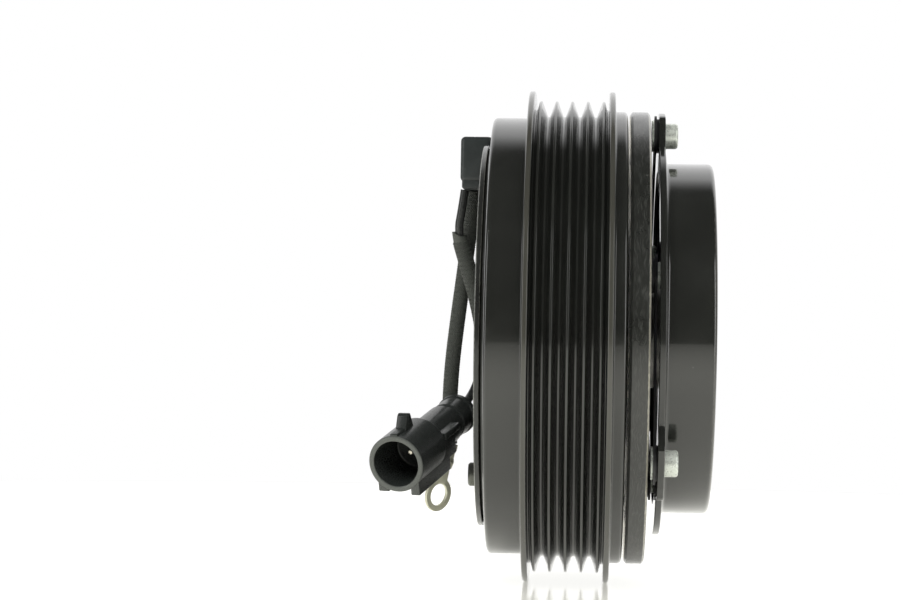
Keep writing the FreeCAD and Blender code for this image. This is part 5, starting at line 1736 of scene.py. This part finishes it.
@dataclass
class Armature:
    """The friction disc and the leaf springs that pull it back."""

    lobes: Lobes = field(default_factory=Lobes)
    bore: float = 27.0
    ring: float = 37.6
    slot: float = 2.4
    slot_turn: float = math.radians(100)
    head: float = 3.0
    head_thick: float = 1.2
    leaf_end: float = 4.6
    leaf_half: float = 3.6
    end_steps: int = 10
    leaf_steps: int = 40

    def build(self) -> None:
        """Make the disc, the springs, and the rivets at the disc."""
        rear, front, reach = span("armature_plate")
        disc = turned_mesh("armature_disc", softened([
            (rear, self.bore, 0.3), (rear, reach - 0.7, 0.15), (rear + 0.6, reach, 0.2),
            (front - 0.5, reach, 0.25),
            (front, reach - 0.55, 0.2), (front, self.bore, 0.4)]), FINE_ROUND)
        tools = []
        for index in range(self.lobes.count):
            middle = math.pi / 2 + self.lobes.turn + index * self.lobes.period - self.lobes.spring_turn
            tools.append(arc_slot_mesh(self.ring, self.slot, middle, self.slot_turn, rear - 1, front + 1))
        # Painted highlight: the band of steel colour along the front edge stands in for the edge's bright
        # line. The ground rear face and the pale scores are the disc's own.
        finish = paint(
            "armature_paint", roughness=0.34, bump=0.6, bump_depth=0.06, steel=GROUND_STEEL,
            bare_roughness=0.12, wear=0.4, scored=True, worn=((front - 0.25, reach - 0.25, 0.34, 0.3),),
            ground=((rear - 0.2, rear + 0.05, self.bore, reach - 0.6),))
        mesh = combined("armature_disc", disc, tools)
        dress("armature_disc", mesh, Body.ARMATURE, finish, "black_paint", "armature_plate")
        for index in range(self.lobes.count):
            self.add_leaf(index)
        start, end, _ = span("armature_rivet_1")
        under, shank = end - self.head_thick, self.lobes.rivet
        rivet = softened([
            (start, 0.0), (start, shank), (under, shank), (under, self.head, 0.15), (end, self.head, 0.6),
            (end, 0.0)])
        self.lobes.ring_up("armature_rivets", rivet, 48, Body.ARMATURE, ZINC, "zinc", "armature_rivet")
        self.lobes.add_spacers("armature_spacers", Body.ARMATURE, "armature_spacer", 0.15)

    def stations(self, length: float) -> list[float]:
        """Places along a leaf spring, closer together on its round ends."""
        end, quarter = self.leaf_end, math.pi / 2 / self.end_steps
        places = [-end * math.cos(quarter * step) for step in range(self.end_steps)]
        places += [length * step / self.leaf_steps for step in range(self.leaf_steps + 1)]
        places += [length + end * math.sin(quarter * step) for step in range(1, self.end_steps + 1)]
        return places

    def half_width(self, place: float, length: float) -> float:
        """Half of a leaf spring's width at a place along it: round eyes joined by a narrower strip."""
        beyond = max(-place, place - length)
        away = max(0.0, min(place, length - place)) if beyond < 0 else beyond
        half = math.sqrt(max(self.leaf_end ** 2 - min(away, self.leaf_end) ** 2, 0.0004))
        return max(half, self.leaf_half) if beyond < 0 else half

    def add_leaf(self, index: int) -> None:
        """One leaf spring, as a strip of many short stations."""
        rear, front, _ = span(f"leaf_spring_{index + 1}")
        near = Vector(self.lobes.at(index, self.lobes.circle))
        far = Vector(self.lobes.at(index, self.lobes.inner_circle, self.lobes.spring_turn))
        along = (far - near).normalized()
        side = Vector((-along.y, along.x))
        length = (far - near).length
        points = []
        for place in self.stations(length):
            edge = side * self.half_width(place, length)
            middle = near + along * place
            corners = ((rear, -1), (front, -1), (front, 1), (rear, 1))
            points += [(level, *(middle + edge * sign)) for level, sign in corners]
        rings = [range(start, start + 4) for start in range(0, len(points), 4)]
        faces = [tuple(rings[0]), tuple(rings[-1])]
        for first, second in zip(rings, rings[1:]):
            faces += bridged(first, second)
        name = f"leaf_{index + 1}"
        mesh = mesh_from(name, points, faces)
        # Near-black finish: painted shade in the gap behind the lobed flange.
        leaf = dress(name, mesh, None, SPRING_STEEL_AND_PAINTED_SHADE, "spring_steel", f"leaf_spring_{index + 1}")
        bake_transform(leaf)


@dataclass
class Hub:
    """The driven hub: lobed drum, rubber ring, splined core and the long rivets."""

    lobes: Lobes = field(default_factory=Lobes)
    disc: float = 45.0
    round_reach: float = 43.4
    thick: float = 1.5
    drum: float = 40.0
    wall: float = 2.2
    lip_reach: float = 36.6
    lip: float = 1.6
    sleeve: float = 24.0
    dish: float = 1.6
    teeth: int = 20
    tooth_share: float = 0.17
    spline: float = 5.5
    spline_root: float = 6.15
    pilot: float = 6.5
    bolt_seat: float = 8.6
    boss: float = 11.5
    flank: float = math.radians(12.5)
    flank_steps: int = 110
    plain_steps: int = 60
    lobe_half: tuple[tuple[float, float], ...] = (
        (8.8, 41.0), (7.4, 49.6), (7.15, 50.1), (6.7, 50.55), (5.9, 50.9), (3.0, 51.35), (0.0, 51.5))

    def lobe_reach(self, angle: float) -> float:
        """How far the lobed flange reaches at an angle from the middle of its nearest lobe."""
        period = self.lobes.period
        away = abs((angle + period / 2) % period - period / 2)
        best = self.disc
        for (wide, low), (narrow, high) in zip(self.lobe_half, self.lobe_half[1:]):
            first, second = math.atan2(wide, low), math.atan2(narrow, high)
            if second <= away <= first:
                share = (first - away) / max(first - second, 1e-9)
                best = max(best, math.hypot(wide + (narrow - wide) * share, low + (high - low) * share))
        return best

    def angles(self) -> list[float]:
        """Places round the flange, closer together at the lobes' flanks."""
        gap = self.lobes.period - 2 * self.flank
        places = []
        for index in range(self.lobes.count):
            middle = math.pi / 2 + self.lobes.turn + index * self.lobes.period
            start, end = middle - self.flank, middle + self.flank
            places += [
                start + 2 * self.flank * step / self.flank_steps for step in range(self.flank_steps + 1)
            ]
            places += [end + gap * step / self.plain_steps for step in range(1, self.plain_steps)]
        return places

    def build(self) -> None:
        """Make the drum, the rubber, the core and the rivets."""
        rear, front, _ = span("hub_drum")
        inner = self.drum - self.wall
        top = rear + self.thick

        def reach_at(angle: float, along: float, reach: float) -> float:
            if reach <= self.round_reach - 0.4:
                return reach
            return reach + self.lobe_reach(angle - math.pi / 2 - self.lobes.turn) - self.disc

        outline = softened([
            (rear, inner, 0.5), (front - self.lip, inner, 0.9), (front - self.lip, self.lip_reach, 0.3),
            (front, self.lip_reach, 0.3), (front, self.drum, 1.15), (top, self.drum, 1.1),
            (top, self.round_reach), (top, self.disc, 0.3), (rear, self.disc, 0.25), (rear, self.round_reach),
        ], steps=6)
        body = turned_mesh("hub_shell", outline, reach_at=reach_at, angles=self.angles())
        holes = []
        for index in range(self.lobes.count):
            y, z = self.lobes.at(index, self.lobes.circle)
            hole = turned_mesh("lobe_hole", [
                (rear - 1, 0.0), (top + 1, 0.0), (top + 1, self.lobes.rivet),
                (rear - 1, self.lobes.rivet)], 32)
            holes.append(placed(hole, Matrix.Translation((0, y * MM, z * MM))))
        # Painted highlight: the faint band of steel colour along the front edge stands in for the bright line
        # on that edge.
        finish = paint(
            "drum_paint", roughness=0.16, coat=0.8, coat_roughness=0.04, bump=0.1, bump_depth=0.015,
            wear=0.12, worn=((front - 0.3, self.drum - 0.35, 0.45, 0.4),))
        shell = combined("hub_shell", body, holes)
        dress("hub_shell", shell, Body.HUB, finish, "black_paint", "hub_drum")
        self.add_rubber(inner)
        self.add_core()
        self.add_rivets(top)

    def add_rubber(self, inner: float) -> None:
        """The bonded rubber ring, dished on both faces."""
        rear, front, _ = span("rubber_damper")
        middle = (self.sleeve + inner) / 2
        low, high = middle - 2.5, middle + 2.5
        rubber = turned_mesh("damper", softened([
            (rear, self.sleeve), (rear + self.dish, low, 1.5), (rear + self.dish, high, 1.5), (rear, inner),
            (front, inner), (front - self.dish, high, 1.5), (front - self.dish, low, 1.5),
            (front, self.sleeve)]))
        dress("damper", rubber, Body.HUB, RUBBER, "black_rubber", "rubber_damper")

    def add_core(self) -> None:
        """The splined steel core."""
        rear, front, _ = span("hub_core")
        inside = self.sleeve - 2.0

        def reach_at(angle: float, along: float, reach: float) -> float:
            if abs(reach - self.spline) > 0.01:
                return reach
            phase = (angle * self.teeth / FULL_TURN) % 1.0
            return self.spline_root if abs(phase - 0.5) < self.tooth_share else self.spline

        seat = front - 2.4
        outline = softened([
            (rear, self.pilot, 0.3), (rear + 4.0, self.pilot), (rear + 4.0, self.spline), (seat, self.spline),
            (seat, self.bolt_seat, 0.2), (front, self.bolt_seat, 0.4), (front, self.boss, 0.5),
            (26.8, self.boss, 1.2), (26.8, inside, 1.0), (30.8, inside, 0.3), (30.8, self.sleeve, 0.4),
            (20.8, self.sleeve, 0.4), (20.8, inside, 0.3), (23.6, inside, 1.0), (23.6, self.boss, 1.2),
            (rear, self.boss, 0.5)])
        core = turned_mesh("core", outline, 240, reach_at=reach_at)
        dress("core", core, Body.HUB, MACHINED, "bare_steel", "hub_core")

    def add_rivets(self, seat: float) -> None:
        """The long zinc rivets through the lobes, and their spacers."""
        start, end, _ = span("hub_rivet_1")
        foot, shank, head = 3.6, self.lobes.rivet, 2.9
        rivet = softened([
            (start, 0.0), (start, foot, 0.2), (start + 0.6, foot, 0.15), (start + 0.6, shank), (seat, shank),
            (seat, head, 0.12), (end, head, 0.75), (end, 1.5, 0.3), (end - 0.12, 1.2, 0.2), (end - 0.12, 0.0),
        ], steps=6)
        self.lobes.ring_up("hub_rivets", rivet, 64, Body.HUB, ZINC, "zinc", "hub_rivet")
        self.lobes.add_spacers("hub_spacers", Body.HUB, "hub_spacer", 0.1)


def main() -> None:
    """Build the studio, the leads and every piece of the clutch."""
    logging.basicConfig(level=logging.INFO, format="%(name)s: %(message)s")
    Studio().build()
    Leads().build()
    CoilCarrier().build()
    Pulley().build()
    Armature().build()
    Hub().build()


if __name__ == "__main__":
    main()
